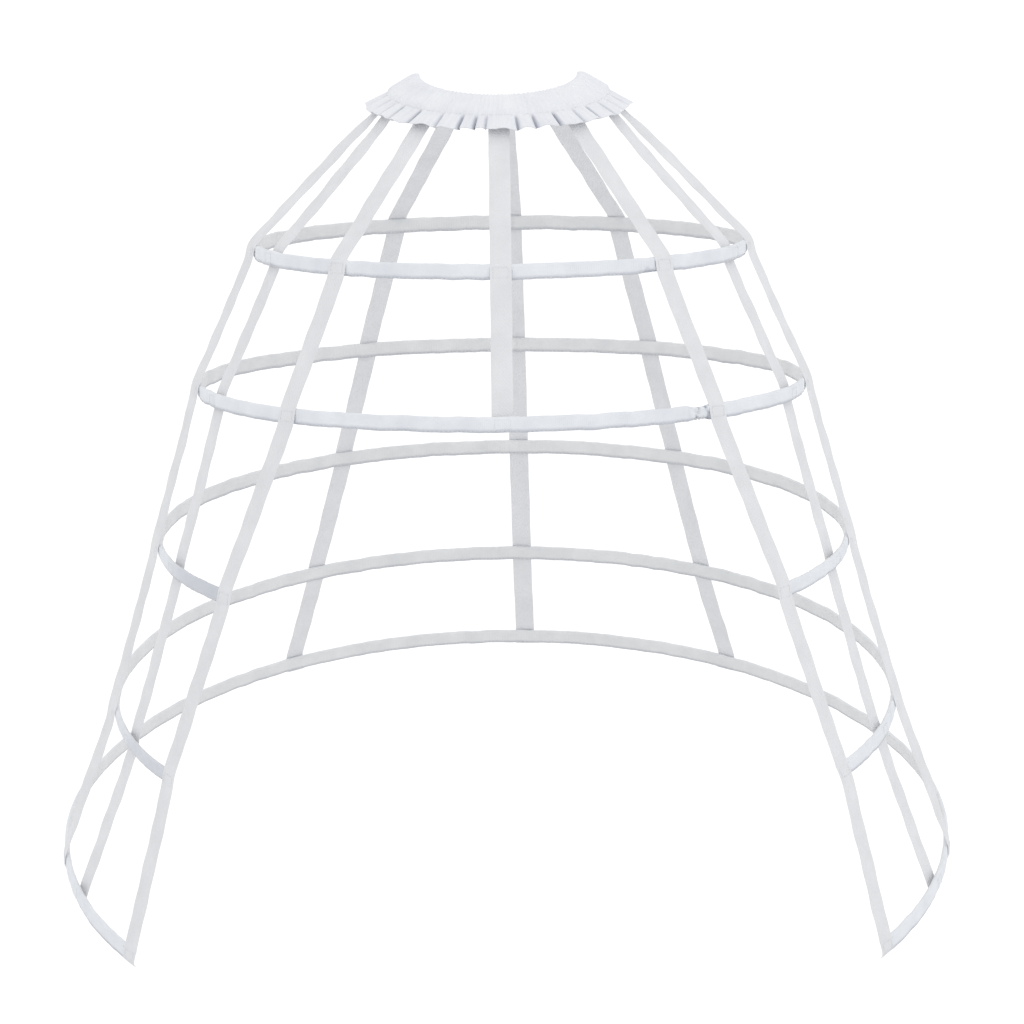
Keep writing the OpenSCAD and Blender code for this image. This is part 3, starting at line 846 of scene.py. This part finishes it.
kept = node(tree, "ShaderNodeMath", {"operation": "MAXIMUM"}, {0: moved_in.outputs[0], 1: least.outputs[0]})
side = node(tree, "ShaderNodeMath", {"operation": "SIGN"}, {0: xy.outputs["X"]})
full = node(tree, "ShaderNodeMath", {"operation": "MULTIPLY"}, {0: kept.outputs[0], 1: side.outputs[0]})
print("casing tree nodes so far", len(casing_tree.nodes))

# %% The casing's tree: puckers, and edges that wander
# Noise changes quickly along the hoop and slowly across the casing: turns for each metre, and for the seed
PUCKER_RATES = (95.0, 60.0, 1.0)
JOIN_PUCKER_RATES = (330.0, 90.0, 1.0)
WANDER_RATES = (38.0, 0.0, 1.0)
# The bone's joint puckers the cloth: fully within the first length, and not past the second
JOIN_REACH = (0.004, 0.015)
JOIN_PUCKERS = [0.5, 1.6, 0.0, 0.0, 0.0]
JOIN_HEIGHT_SHARE = 0.75
# The bone and its joiner keep the cloth from sinking in
LEAST_SWELL = 0.93
EDGE_WANDER = 0.0009

where = node(tree, "ShaderNodeCombineXYZ", None, {"X": length, "Y": xy.outputs["Y"], "Z": casing_in["Seed"]})
fine = node(tree, "ShaderNodeVectorMath", {"operation": "MULTIPLY"}, {0: where.outputs[0], 1: PUCKER_RATES})
ripple = node(tree, "ShaderNodeTexNoise", {"normalize": False},
              {"Vector": fine.outputs[0], "Scale": 1.0, "Detail": 2.0, "Roughness": 0.5})
from_join = node(tree, "ShaderNodeMath", {"operation": "SUBTRACT"}, {0: length, 1: casing_in["Join"]})
apart = node(tree, "ShaderNodeMath", {"operation": "ABSOLUTE"}, {0: from_join.outputs[0]})
closeness = node(tree, "ShaderNodeMapRange", {"interpolation_type": "SMOOTHSTEP"},
                 {"Value": apart.outputs[0], "From Min": JOIN_REACH[0], "From Max": JOIN_REACH[1],
                  "To Min": 1.0, "To Max": 0.0})
strength = node(tree, "ShaderNodeMath", {"operation": "MULTIPLY_ADD"},
                {0: closeness.outputs[0], 1: casing_in["Join Pucker"], 2: casing_in["Pucker"]})
join_fine = node(tree, "ShaderNodeVectorMath", {"operation": "MULTIPLY"},
                 {0: where.outputs[0], 1: JOIN_PUCKER_RATES})
join_ripple = node(tree, "ShaderNodeTexNoise", {"normalize": False},
                   {"Vector": join_fine.outputs[0], "Scale": 1.0, "Detail": 1.0, "Roughness": 0.5})
ripples = node(tree, "ShaderNodeMix", {"data_type": "FLOAT"},
               {0: closeness.outputs[0], 2: ripple.outputs["Fac"], 3: join_ripple.outputs["Fac"]})
swell = node(tree, "ShaderNodeMath", {"operation": "MULTIPLY_ADD"},
             {0: ripples.outputs[0], 1: strength.outputs[0], 2: 1.0})
held_swell = node(tree, "ShaderNodeMath", {"operation": "MAXIMUM"}, {0: swell.outputs[0], 1: LEAST_SWELL})
from_bone = node(tree, "ShaderNodeMath", {"operation": "MULTIPLY"},
                 {0: held_swell.outputs[0], 1: full.outputs[0]})

slow = node(tree, "ShaderNodeVectorMath", {"operation": "MULTIPLY"}, {0: where.outputs[0], 1: WANDER_RATES})
wander = node(tree, "ShaderNodeTexNoise", {"normalize": False},
              {"Vector": slow.outputs[0], "Scale": 1.0, "Detail": 2.0, "Roughness": 0.6})
drawn_in = node(tree, "ShaderNodeMath", {"operation": "MULTIPLY"},
                {0: closeness.outputs[0], 1: casing_in["Join Pucker"]})
tall = node(tree, "ShaderNodeMapRange", None,
            {"Value": drawn_in.outputs[0], "From Min": 0.0, "From Max": max(JOIN_PUCKERS),
             "To Min": 1.0, "To Max": JOIN_HEIGHT_SHARE})
level = node(tree, "ShaderNodeMath", {"operation": "MULTIPLY"}, {0: xy.outputs["Y"], 1: tall.outputs[0]})
height = node(tree, "ShaderNodeMath", {"operation": "MULTIPLY_ADD"},
              {0: wander.outputs["Fac"], 1: EDGE_WANDER, 2: level.outputs[0]})
print("casing tree nodes so far", len(casing_tree.nodes))

# %% The casing's tree: ends that lean, and are cut on a slant
CUT_REACH = 0.02

# The open ends lean with their tapes: the section turns about the bone
right_lean = node(tree, "ShaderNodeMapRange", {"interpolation_type": "SMOOTHSTEP"},
                  {"Value": length, "From Min": 0.0, "From Max": LEAN_REACH,
                   "To Min": casing_in["Right Lean"], "To Max": 0.0})
left_lean = node(tree, "ShaderNodeMapRange", {"interpolation_type": "SMOOTHSTEP"},
                 {"Value": far.outputs[0], "From Min": 0.0, "From Max": LEAN_REACH,
                  "To Min": casing_in["Left Lean"], "To Max": 0.0})
leaning = node(tree, "ShaderNodeMath", {"operation": "ADD"},
               {0: right_lean.outputs[0], 1: left_lean.outputs[0]})
upright = node(tree, "ShaderNodeCombineXYZ", None, {"X": from_bone.outputs[0], "Y": height.outputs[0]})
leant = node(tree, "ShaderNodeVectorRotate", {"rotation_type": "Z_AXIS"},
             {"Vector": upright.outputs[0], "Angle": leaning.outputs[0]})
leant_xy = node(tree, "ShaderNodeSeparateXYZ", None, {"Vector": leant.outputs[0]})
reach = node(tree, "ShaderNodeMath", {"operation": "ADD"},
             {0: leant_xy.outputs["X"], 1: casing_in["Radius"]})

# The open ends are cut along the tapes that cover them, which lean: the lower corners stand back
from_start = node(tree, "ShaderNodeMapRange", None,
                  {"Value": length, "From Min": 0.0, "From Max": CUT_REACH,
                   "To Min": 1.0, "To Max": 0.0})
from_end = node(tree, "ShaderNodeMapRange", None,
                {"Value": far.outputs[0], "From Min": 0.0, "From Max": CUT_REACH,
                 "To Min": 1.0, "To Max": 0.0})
which_end = node(tree, "ShaderNodeMath", {"operation": "SUBTRACT"},
                 {0: from_end.outputs[0], 1: from_start.outputs[0]})
slant = node(tree, "ShaderNodeMath", {"operation": "MULTIPLY"},
             {0: xy.outputs["Y"], 1: casing_in["End Slant"]})
slid = node(tree, "ShaderNodeMath", {"operation": "MULTIPLY_ADD"},
            {0: which_end.outputs[0], 1: slant.outputs[0], 2: length})
turn = node(tree, "ShaderNodeMath", {"operation": "DIVIDE"}, {0: slid.outputs[0], 1: casing_in["Radius"]})
angle = node(tree, "ShaderNodeMath", {"operation": "ADD"}, {0: turn.outputs[0], 1: casing_in["Start"]})
cosine = node(tree, "ShaderNodeMath", {"operation": "COSINE"}, {0: angle.outputs[0]})
sine = node(tree, "ShaderNodeMath", {"operation": "SINE"}, {0: angle.outputs[0]})
right = node(tree, "ShaderNodeMath", {"operation": "MULTIPLY"}, {0: reach.outputs[0], 1: cosine.outputs[0]})
back = node(tree, "ShaderNodeMath", {"operation": "MULTIPLY"}, {0: reach.outputs[0], 1: sine.outputs[0]})
spot = node(tree, "ShaderNodeCombineXYZ", None,
            {"X": right.outputs[0], "Y": back.outputs[0], "Z": leant_xy.outputs["Y"]})
shaped = node(tree, "GeometryNodeSetPosition", None,
              {"Geometry": swept.outputs[0], "Position": spot.outputs[0]})
print("casing tree nodes so far", len(casing_tree.nodes))

# %% The casing's tree: its flat map, sides and shade
SIDE_BLEND = 0.0012
# The sewn lower edge holds some shade between these heights, and so does the left front end of some hoops
EDGE_SHADE_RISES = (0.0012, 0.0042)
LEFT_SHADE_REACH = (0.06, 0.16)
# The creases at a join are deep and dark: the noise at which they begin and are darkest, and their shade
CREASE_NOISE = (0.05, -0.25)
CREASE_SHADE = 0.6

flat_at = node(tree, "ShaderNodeCombineXYZ", None, {"X": length, "Y": section_known.outputs["round"]})
mapped = node(tree, "GeometryNodeStoreNamedAttribute", {"data_type": "FLOAT2", "domain": "CORNER"},
              {"Geometry": shaped.outputs[0], "Name": "cloth", "Value": flat_at.outputs[0]})
# Inner faces take the wrong side's colour, which on the casings is painted shade
inner_side_share = node(tree, "ShaderNodeMapRange", None,
             {"Value": xy.outputs["X"], "From Min": -SIDE_BLEND, "From Max": SIDE_BLEND,
              "To Min": 1.0, "To Max": 0.0})
sided = node(tree, "GeometryNodeStoreNamedAttribute", {"data_type": "FLOAT", "domain": "POINT"},
             {"Geometry": mapped.outputs[0], "Name": "wrong_side", "Value": inner_side_share.outputs[0]})
edge_low, edge_high = (rise - CASING_HEIGHT / 2 for rise in EDGE_SHADE_RISES)
edge_shade = node(tree, "ShaderNodeMapRange", {"interpolation_type": "SMOOTHSTEP"},
                  {"Value": xy.outputs["Y"], "From Min": edge_low, "From Max": edge_high,
                   "To Min": casing_in["Edge Shade"], "To Max": 0.0})
left_shade = node(tree, "ShaderNodeMapRange", {"interpolation_type": "SMOOTHSTEP"},
                  {"Value": far.outputs[0], "From Min": LEFT_SHADE_REACH[0], "From Max": LEFT_SHADE_REACH[1],
                   "To Min": casing_in["Left Shade"], "To Max": 0.0})
dim = node(tree, "ShaderNodeMath", {"operation": "MAXIMUM"},
           {0: edge_shade.outputs[0], 1: left_shade.outputs[0]})
crease = node(tree, "ShaderNodeMapRange", {"interpolation_type": "SMOOTHSTEP"},
              {"Value": join_ripple.outputs["Fac"], "From Min": CREASE_NOISE[0], "From Max": CREASE_NOISE[1],
               "To Min": 0.0, "To Max": CREASE_SHADE})
creased = node(tree, "ShaderNodeMath", {"operation": "MULTIPLY_ADD"},
               {0: crease.outputs[0], 1: drawn_in.outputs[0], 2: dim.outputs[0]})
dimmed = node(tree, "GeometryNodeStoreNamedAttribute", {"data_type": "FLOAT", "domain": "POINT"},
              {"Geometry": sided.outputs[0], "Name": "fold_shade", "Value": creased.outputs[0]})
placed = node(tree, "GeometryNodeTransform", None,
              {"Geometry": dimmed.outputs[0], "Translation": casing_in["Place"],
               "Rotation": casing_in["Tilt"]})
clothed = node(tree, "GeometryNodeSetMaterial", None,
               {"Geometry": placed.outputs[0], "Material": casing_in["Cloth"]})
node(tree, "NodeGroupOutput", None, {"Geometry": clothed.outputs[0]})
print("casing tree nodes", len(casing_tree.nodes))

# %% Casings from the tree
STATION_STEP = 0.0028
PUCKERS = [0.16, 0.16, 0.10, 0.09, 0.09]
JOIN_ANGLES = [35.6, 38.0, 0.0, 0.0, 0.0]
SEED_STEP = 3.7
END_SLANT = 0.5
EDGE_SHADE = 0.4
LEFT_SHADES = [0.0, 0.0, 0.32, 0.22, 0.0]
# The closed rings start behind the back centre tape
RING_START = 177.0
FLATTENING = CASING_THICKNESS / 2 - CASING_WALL - SEAT_GAP / 2


def from_tree(name, maker, values, base=None):
    """Runs a tree on a mesh and gives back what it makes as a plain mesh."""
    holder = bpy.data.objects.new(name + "_maker", base or bpy.data.meshes.new(name + "_base"))
    scene.collection.objects.link(holder)
    modifier = holder.modifiers.new("maker", "NODES")
    modifier.node_group = maker
    sockets = {s.name: s.identifier for s in maker.interface.items_tree if s.in_out == "INPUT"}
    for label, value in values.items():
        modifier[sockets[label]] = value
    bpy.context.view_layer.update()
    graph = bpy.context.evaluated_depsgraph_get()
    mesh = bpy.data.meshes.new_from_object(holder.evaluated_get(graph), depsgraph=graph)
    bpy.data.objects.remove(holder)
    mesh.name = name
    return mesh


for hoop, radius in enumerate(RADII):
    closed = hoop not in OPEN_HOOPS
    if closed:
        start, sweep = RING_START, 360.0
    else:
        start = FRONT_ANGLES[hoop] - arc(hoop, TAPE_WIDTH / 2 - END_INSET)
        sweep = 360.0 - 2 * start
    stations = int(math.radians(sweep) * radius / STATION_STEP)
    # A closed ring's last station stands one step short of its first
    swept_angle = sweep * (1 - 1 / stations) if closed else sweep
    name = f"hoop_{hoop + 1}_casing"
    mesh = from_tree(name + "_cloth", casing_tree, {
        "Section": section, "Radius": radius, "Start": math.radians(start - 90),
        "Sweep": math.radians(swept_angle), "Stations": stations, "Closed": closed, "End Length": FLAT_END,
        "End Slant": 0.0 if closed else END_SLANT, "Flattening": FLATTENING, "Pucker": PUCKERS[hoop],
        "Join": radius * math.radians((JOIN_ANGLES[hoop] - start) % 360), "Join Pucker": JOIN_PUCKERS[hoop],
        "Seed": SEED_STEP * hoop, "Tilt": (TILTS[hoop], 0.0, 0.0),
        "Place": (0.0, hoop * SETBACK, -DROPS[hoop]), "Edge Shade": EDGE_SHADE,
        "Left Shade": LEFT_SHADES[hoop],
        "Left Lean": END_LEANS[hoop][0], "Right Lean": END_LEANS[hoop][1], "Cloth": casing_cloth})
    casing = finish_piece(mesh, name + "_cloth", casing_cloth, [name])
    print(name, "stations", stations, "faces", len(mesh.polygons))
bpy.data.objects.remove(section)

# %% [markdown]
# ## The waistband
#
# The band is one strip of soft cotton, folded over the elastic. A row of stitches closes the channel, and
# the cloth runs on below it as a frill. The elastic draws the strip together, so the channel stands in fine
# ridges, and the frill opens into waves. It is made as rings of points: the section of the folded strip at
# each angle, moved by the gathers there. The broad waves are the solid's own, and the fine ridges are added
# here.

# %% Gathers round the waist
BAND_ROUNDS = 1800
around = np.arange(BAND_ROUNDS) * 360.0 / BAND_ROUNDS
turned = np.radians(around)


def waves(*parts):
    """A sum of waves round the waist, each from its size, its count and its phase."""
    return sum(size * np.sin(count * turned + phase) for size, count, phase in parts)


# The broad wave of the solid's gathers, from -1 to 1, which is uneven round the waist
UNEVEN_SHARE = 0.35
UNEVEN_WAVES = 5
SWING = (math.radians(20), 3, 0.0)
uneven = np.sin(UNEVEN_WAVES * turned + waves(SWING))
gathers = np.sin(GATHER_COUNT * turned) * (1 - UNEVEN_SHARE + UNEVEN_SHARE * uneven)

# Fine ridges, about 5 mm apart, where the elastic draws the channel together, and smaller ones over them
FINE_RIDGES = 118
FINE_SWINGS = ((1.6, 5, 0.0), (0.9, 11, 0.7))
RIDGE_SHARPNESS = 0.8
SMALL_RIDGES = 131
SMALL_SWING = (1.1, 9, 0.4)
SMALL_SHARE = 0.6
SMALL_FADE = (0.4, 7, 1.0)
RIDGE_MIDDLE = 0.45
RIDGE_OUT = 0.0008
fine_ridges = 1 - np.abs(np.sin(FINE_RIDGES / 2 * turned + waves(*FINE_SWINGS))) ** RIDGE_SHARPNESS
small_ridges = np.sin(SMALL_RIDGES * turned + waves(SMALL_SWING)) * (SMALL_SHARE + waves(SMALL_FADE))
ridge_lift = RIDGE_OUT * (fine_ridges - RIDGE_MIDDLE) + RIDGE_OUT / 3 * small_ridges
print("ridges", FINE_RIDGES, "lift", round(np.ptp(ridge_lift) * 1000, 2), "mm")

# %% Pleats of the frill
# Pleats where the frill is caught in the seam: the front ones are read from the photograph, and the rest
# go on round at the same uneven spacing
PLEATS = [-56, -43, -29, -18, -11, -6, 8.5, 17, 28, 40, 50, 61, 70, 80, 92, 101, 112, 121, 133, 142, 153,
          162, 173, 184, 193, 204, 213, 225, 234, 246, 255, 266, 277, 287, 296]
DEEP_PLEATS = (-43, 28)
PLEAT_DEPTH = 0.55
PLEAT_CHANGE = 0.25
PLEAT_RHYTHM = 1.9
SLIT_WIDTH = 0.75
BULGE_FULLNESS = 0.7
marks = np.array(PLEATS + [PLEATS[0] + 360], float)
place = (around - PLEATS[0]) % 360 + PLEATS[0]
after = np.clip(np.searchsorted(marks, place, side="right"), 1, len(marks) - 1)
share_between = (place - marks[after - 1]) / (marks[after] - marks[after - 1])
bulge = (4 * share_between * (1 - share_between)) ** BULGE_FULLNESS
slits = np.zeros(BAND_ROUNDS)
for count, pleat in enumerate(PLEATS):
    apart = (around - pleat + 180) % 360 - 180
    depth = 1.0 if pleat in DEEP_PLEATS else PLEAT_DEPTH + PLEAT_CHANGE * math.cos(PLEAT_RHYTHM * count)
    slits += depth * np.exp(-(apart / SLIT_WIDTH) ** 2)
print("pleats", len(PLEATS))

# %% Lines round the channel and the frill
CLOTH = 0.0009
CHANNEL_OUT = 0.0053
SEAM_OUT = 0.0026
LEAST_OUT = 0.0011
WAVE_OUT = 0.0008
# The gathers are full from a sixth of the way down the channel, and small where the seam holds them
GATHER_RISE = 6
SEAM_SHARE_DOWN = 0.98
SEAM_GATHER = 0.3
# The ridges scallop the top ninth of the channel, and the fold is at its very top
SCALLOP_FALL = 9
TOP_FOLD_SHARE = 0.07

FRILL_SPREAD = 0.8
BULGE_WAVE = 1.6
BULGE_MIDDLE = 0.8
GATHER_WAVE = 0.4
FRILL_SINK = 0.004
RIDGE_LOSS = 0.7
SLIT_DEPTH = 0.0045
SLIT_START = 0.12
SLIT_GROWTH = 0.6
# The edge is drawn up where a slit sinks, so the bulges hang lowest
EDGE_REACH = 0.93
BULGE_REACH = 0.09
EDGE_SWAY = (0.04, 13, 0.0)
SLIT_DRAW = 0.3


def channel_row(share, height, ridge, inside_fold):
    """One line round the channel, on its outer side or inside the fold."""
    held = 1.0 if share < SEAM_SHARE_DOWN else SEAM_GATHER
    lift = WAVE_OUT * gathers * min(1.0, share * GATHER_RISE) * held
    scallop = -CLOTH * fine_ridges * max(0.0, 1 - share * SCALLOP_FALL)
    out = height + lift + ridge * ridge_lift - (CLOTH if inside_fold else 0.0)
    drop = CLOTH if inside_fold and share < TOP_FOLD_SHARE else 0.0
    return on_band(around, CHANNEL_LENGTH * share + scallop + drop, np.maximum(out, LEAST_OUT))


def frill_row(share, inside_fold):
    """One line round the frill: bulges that open towards its edge, between slits that leave the seam."""
    lift = FRILL_WAVE * share ** FRILL_SPREAD * (BULGE_WAVE * bulge - BULGE_MIDDLE + GATHER_WAVE * gathers)
    ridges = (1 - RIDGE_LOSS * share) * ridge_lift
    cuts = -SLIT_DEPTH * slits * math.sin(math.pi * min(0.5, SLIT_START + SLIT_GROWTH * share))
    reach = EDGE_REACH + BULGE_REACH * bulge + waves(EDGE_SWAY) - SLIT_DRAW * slits
    slope = CHANNEL_LENGTH + FRILL_LENGTH * share * reach
    out = SEAM_OUT + lift + ridges + cuts - (CLOTH if inside_fold else 0.0)
    low = -FRILL_SINK * share + (SEAT_GAP if inside_fold else SEAT_GAP + CLOTH)
    return on_band(around, slope, np.maximum(out, low))


print("frill hangs to", round(frill_row(1.0, False)[:, 2].min(), 3))

# %% Section of the band at every angle
channel_shares = np.array([0, 0.018, 0.06, 0.13, 0.22, 0.35, 0.48, 0.61, 0.74, 0.85, 0.925, 0.976, 1.0])
channel_heights = np.interp(channel_shares, [0, 0.018, 0.06, 0.13, 0.22, 0.84, 0.925, 1],
                            [0.0012, 0.0026, 0.0038, 0.0048, CHANNEL_OUT, CHANNEL_OUT, 0.0044, SEAM_OUT])
ridge_shares = np.interp(channel_shares, [0, 0.09, 0.3, 0.65, 0.88, 1], [0.6, 1.0, 0.7, 0.7, 1.0, 0.55])
frill_shares = np.array([0.08, 0.18, 0.3, 0.44, 0.58, 0.72, 0.86, 0.96, 1.0])
channel_lines = list(zip(channel_shares, channel_heights, ridge_shares))
# The inner layer is flat against the wearer: its inside in the channel first, then its face
INNER_FOLD_SHARES = (0.09, 0.35, 0.65, 0.95)
INNER_FACE_SHARES = (0.98, 0.76, 0.53, 0.29, 0.12, 0.024)
INNER_FACE_TONE = 0.6
inner_lines = [(share, CLOTH, 1.0) for share in INNER_FOLD_SHARES]
inner_lines += [(1.0, CLOTH / 2, INNER_FACE_TONE)]
inner_lines += [(share, 0.0, INNER_FACE_TONE) for share in INNER_FACE_SHARES]

# Each row is a line of places, its length down the flat strip and its share of the wrong side
rows = []
for share, height, ridge in channel_lines:
    rows.append((channel_row(share, height, ridge, False), CHANNEL_LENGTH * share, 0.0))
for share in frill_shares:
    rows.append((frill_row(share, False), CHANNEL_LENGTH + FRILL_LENGTH * share, 0.0))
for share in frill_shares[::-1]:
    rows.append((frill_row(share, True), CHANNEL_LENGTH + FRILL_LENGTH * share, 1.0))
for share, height, ridge in channel_lines[:1:-1]:
    rows.append((channel_row(share, height, ridge, True), CHANNEL_LENGTH * share, 1.0))
for share, height, wrong_tone in inner_lines:
    rows.append((on_band(around, CHANNEL_LENGTH * share, np.full(BAND_ROUNDS, height)),
                 CHANNEL_LENGTH * (2 - share), wrong_tone))
print("lines round the band", len(rows))

# %% The band as one piece
# The strip is cut longer than the elastic at rest, which draws it up
BAND_CUT = (2 * CHANNEL_LENGTH + FRILL_LENGTH, 0.82)
# The slits and the hollows between the ridges are shaded, the slits most where they leave the seam
SLIT_SHADES = [0, 0.9, 0.6]
SLIT_SHADE_START = 0.2
HOLLOW_SHADES = [0.01, 0.02, 0.06]
HOLLOW_PLACES = [0.1 * CHANNEL_LENGTH, 0.8 * CHANNEL_LENGTH, CHANNEL_LENGTH]

band_places = np.stack([row[0] for row in rows], 1)
down_strip = np.array([row[1] for row in rows])
band_flat = np.stack(np.broadcast_arrays((around / 360.0 * BAND_CUT[1])[:, None], down_strip[None, :]), -1)
band_wrong = np.broadcast_to(np.array([row[2] for row in rows])[None, :], band_places.shape[:2])
band_mesh = ring_mesh("waistband_cloth", band_places, band_flat, band_wrong, True)
slit_places = [CHANNEL_LENGTH, CHANNEL_LENGTH + SLIT_SHADE_START * FRILL_LENGTH, BAND_CUT[0]]
slit_shade = slits[:, None] * np.interp(down_strip, slit_places, SLIT_SHADES)[None, :]
hollow_shade = (1 - fine_ridges)[:, None] * np.interp(down_strip, HOLLOW_PLACES, HOLLOW_SHADES)[None, :]
band_shade = band_mesh.attributes.new("fold_shade", "FLOAT", "POINT")
band_shade.data.foreach_set("value", np.clip(slit_shade + hollow_shade, 0, 1).astype(np.float32).ravel())
band = finish_piece(band_mesh, "waistband_cloth", band_cotton, ["waistband"])
print("band faces", len(band_mesh.polygons))

# %% [markdown]
# ## The stitches
#
# Machine stitches hold it all: a row round the waistband's seam, a row along each casing's lower edge, and
# a small box of stitches where a tape crosses a casing. A stitch is the same little loop of thread each
# time, so a second tree spaces them evenly along drawn routes. Each route is a line of edges with an
# attribute that says which way is out of the cloth.

# %% The tree that sews
stitch_tree, stitch_in = tree_with("row_of_stitches", [
    ("Pitch", "Float"), ("Long", "Float"), ("Wide", "Float"), ("Thread", "Material")])
tree = stitch_tree
route = node(tree, "GeometryNodeMeshToCurve", None, {"Mesh": stitch_in["Geometry"]})
evenly = node(tree, "GeometryNodeResampleCurve", {"mode": "LENGTH"},
              {"Curve": route.outputs[0], "Length": stitch_in["Pitch"]})
ball = node(tree, "GeometryNodeMeshUVSphere", None, {"Segments": 6, "Rings": 4, "Radius": 0.5})
size = node(tree, "ShaderNodeCombineXYZ", None,
            {"X": stitch_in["Long"], "Y": stitch_in["Wide"], "Z": stitch_in["Wide"]})
stitch = node(tree, "GeometryNodeTransform", None,
              {"Geometry": ball.outputs["Mesh"], "Scale": size.outputs[0]})
along = node(tree, "FunctionNodeAlignRotationToVector", {"axis": "X", "pivot_axis": "AUTO"},
             {"Vector": node(tree, "GeometryNodeInputTangent").outputs[0]})
outward = node(tree, "GeometryNodeInputNamedAttribute", {"data_type": "FLOAT_VECTOR"}, {"Name": "out"})
facing = node(tree, "FunctionNodeAlignRotationToVector", {"axis": "Z", "pivot_axis": "X"},
              {"Rotation": along.outputs[0], "Vector": outward.outputs[0]})
sewn = node(tree, "GeometryNodeInstanceOnPoints", None,
            {"Points": evenly.outputs[0], "Instance": stitch.outputs[0], "Rotation": facing.outputs[0]})
real = node(tree, "GeometryNodeRealizeInstances", None, {"Geometry": sewn.outputs[0]})
threaded = node(tree, "GeometryNodeSetMaterial", None,
                {"Geometry": real.outputs[0], "Material": stitch_in["Thread"]})
node(tree, "NodeGroupOutput", None, {"Geometry": threaded.outputs[0]})
print("stitch tree nodes", len(stitch_tree.nodes))

# %% Rows of stitches


def sew(name, routes, pitch, long, wide):
    """Sews along routes. Each has its places, its outward directions, and whether it is a loop."""
    places, outs, edges = [], [], []
    for line, out, loops in routes:
        first = len(places)
        places += [tuple(p) for p in line]
        outs += [tuple(v) for v in np.broadcast_to(out, line.shape)]
        edges += [(first + k, first + k + 1) for k in range(len(line) - 1)]
        if loops:
            edges.append((first + len(line) - 1, first))
    base = bpy.data.meshes.new(name + "_routes")
    base.from_pydata(places, edges, [])
    outward_ways = base.attributes.new("out", "FLOAT_VECTOR", "POINT")
    outward_ways.data.foreach_set("vector", np.array(outs, np.float32).ravel())
    mesh = from_tree(name, stitch_tree, {"Pitch": pitch, "Long": long, "Wide": wide, "Thread": thread}, base)
    for attribute in [a.name for a in mesh.attributes if a.name in ("out", "UVMap")]:
        mesh.attributes.remove(mesh.attributes[attribute])
    finish_piece(mesh, name, thread, [])
    print(name, "faces", len(mesh.polygons))


THREAD = 0.0005
LIFT = 0.0001
BAND_THREAD_WIDTH = THREAD * 1.2
BAND_PITCH, BAND_STITCH = 0.0032, 0.0027
seam_line = frill_row(0.0, False)
seam_out = unit(radial(around) * math.sin(BAND_SLOPE) + UP * math.cos(BAND_SLOPE))
sew("waistband_seam_stitches", [(seam_line + LIFT * seam_out, seam_out, True)], BAND_PITCH, BAND_STITCH,
    BAND_THREAD_WIDTH)

# %% Sew the casings
CASING_PITCH, CASING_STITCH = 0.0042, 0.0034
SEAM_POINTS = 400
SEAM_ABOVE = 0.0013
seam_half = SEAT_GAP / 2 + CASING_WALL
casing_routes = []
for hoop in range(len(RADII)):
    closed = hoop not in OPEN_HOOPS
    # The seam of an open casing starts under the middle of its front tape
    start = 0.0 if closed else FRONT_ANGLES[hoop]
    angles = np.linspace(start, 360.0 - start, SEAM_POINTS)
    if closed:
        angles = angles[:-1]
    out = casing_way(hoop, angles, 1, 0)
    for side in (-1, 1):
        line = on_casing(hoop, angles, side * (seam_half + LIFT), SEAM_ABOVE - CASING_HEIGHT / 2)
        casing_routes.append((line, side * out, closed))
sew("casing_seam_stitches", casing_routes, CASING_PITCH, CASING_STITCH, THREAD)

# %% Sew the crossings
CROSSING_PITCH, CROSSING_STITCH = 0.0026, 0.0021
BOX_SIDE = 0.0072
BOX_RISE = 0.0048
LOOSE_SHARE = 0.4


def crossing_route(name, hoop, angle):
    """A box of stitches where a tape crosses a casing: its corners, the way out, and that it loops."""
    inner = inside(name, hoop)
    hangs_clear = not inner and hoop < LAST_HOOP
    over = LIFT if inner else SEAT_GAP + TAPE_THICKNESS + LIFT
    across = lean(hoop, tangent(angle))
    out, up = casing_way(hoop, angle, 1, 0), casing_way(hoop, angle, 0, 1)
    middle = on_casing(hoop, angle, CASING_THICKNESS / 2 + over, 0.0)
    left, right = -1, 1
    if name in SIDE_TURNS and hangs_clear:
        # A loose tape is sewn near its front edge only, in its own turned plane
        turn = SIDE_TURNS[name]
        middle = middle + out * abs(math.sin(turn)) * TAPE_WIDTH / 2
        across, out = turned_ways(across, out, turn)
        left, right = (LOOSE_SHARE, 1) if turn > 0 else (-1, -LOOSE_SHARE)
    corners = ((left, -1), (right, -1), (right, 1), (left, 1))
    box = [middle + x * BOX_SIDE * across + y * BOX_RISE * up for x, y in corners]
    if hangs_clear:
        box = [corner + out * stand_off(y * BOX_RISE) for corner, (x, y) in zip(box, corners)]
    return np.array(box), out, True


crossing_routes = [crossing_route(name, hoop, angle)
                   for name, angles in TAPE_ANGLES.items() for hoop, angle in enumerate(angles)]
sew("tape_crossing_stitches", crossing_routes, CROSSING_PITCH, CROSSING_STITCH, THREAD)
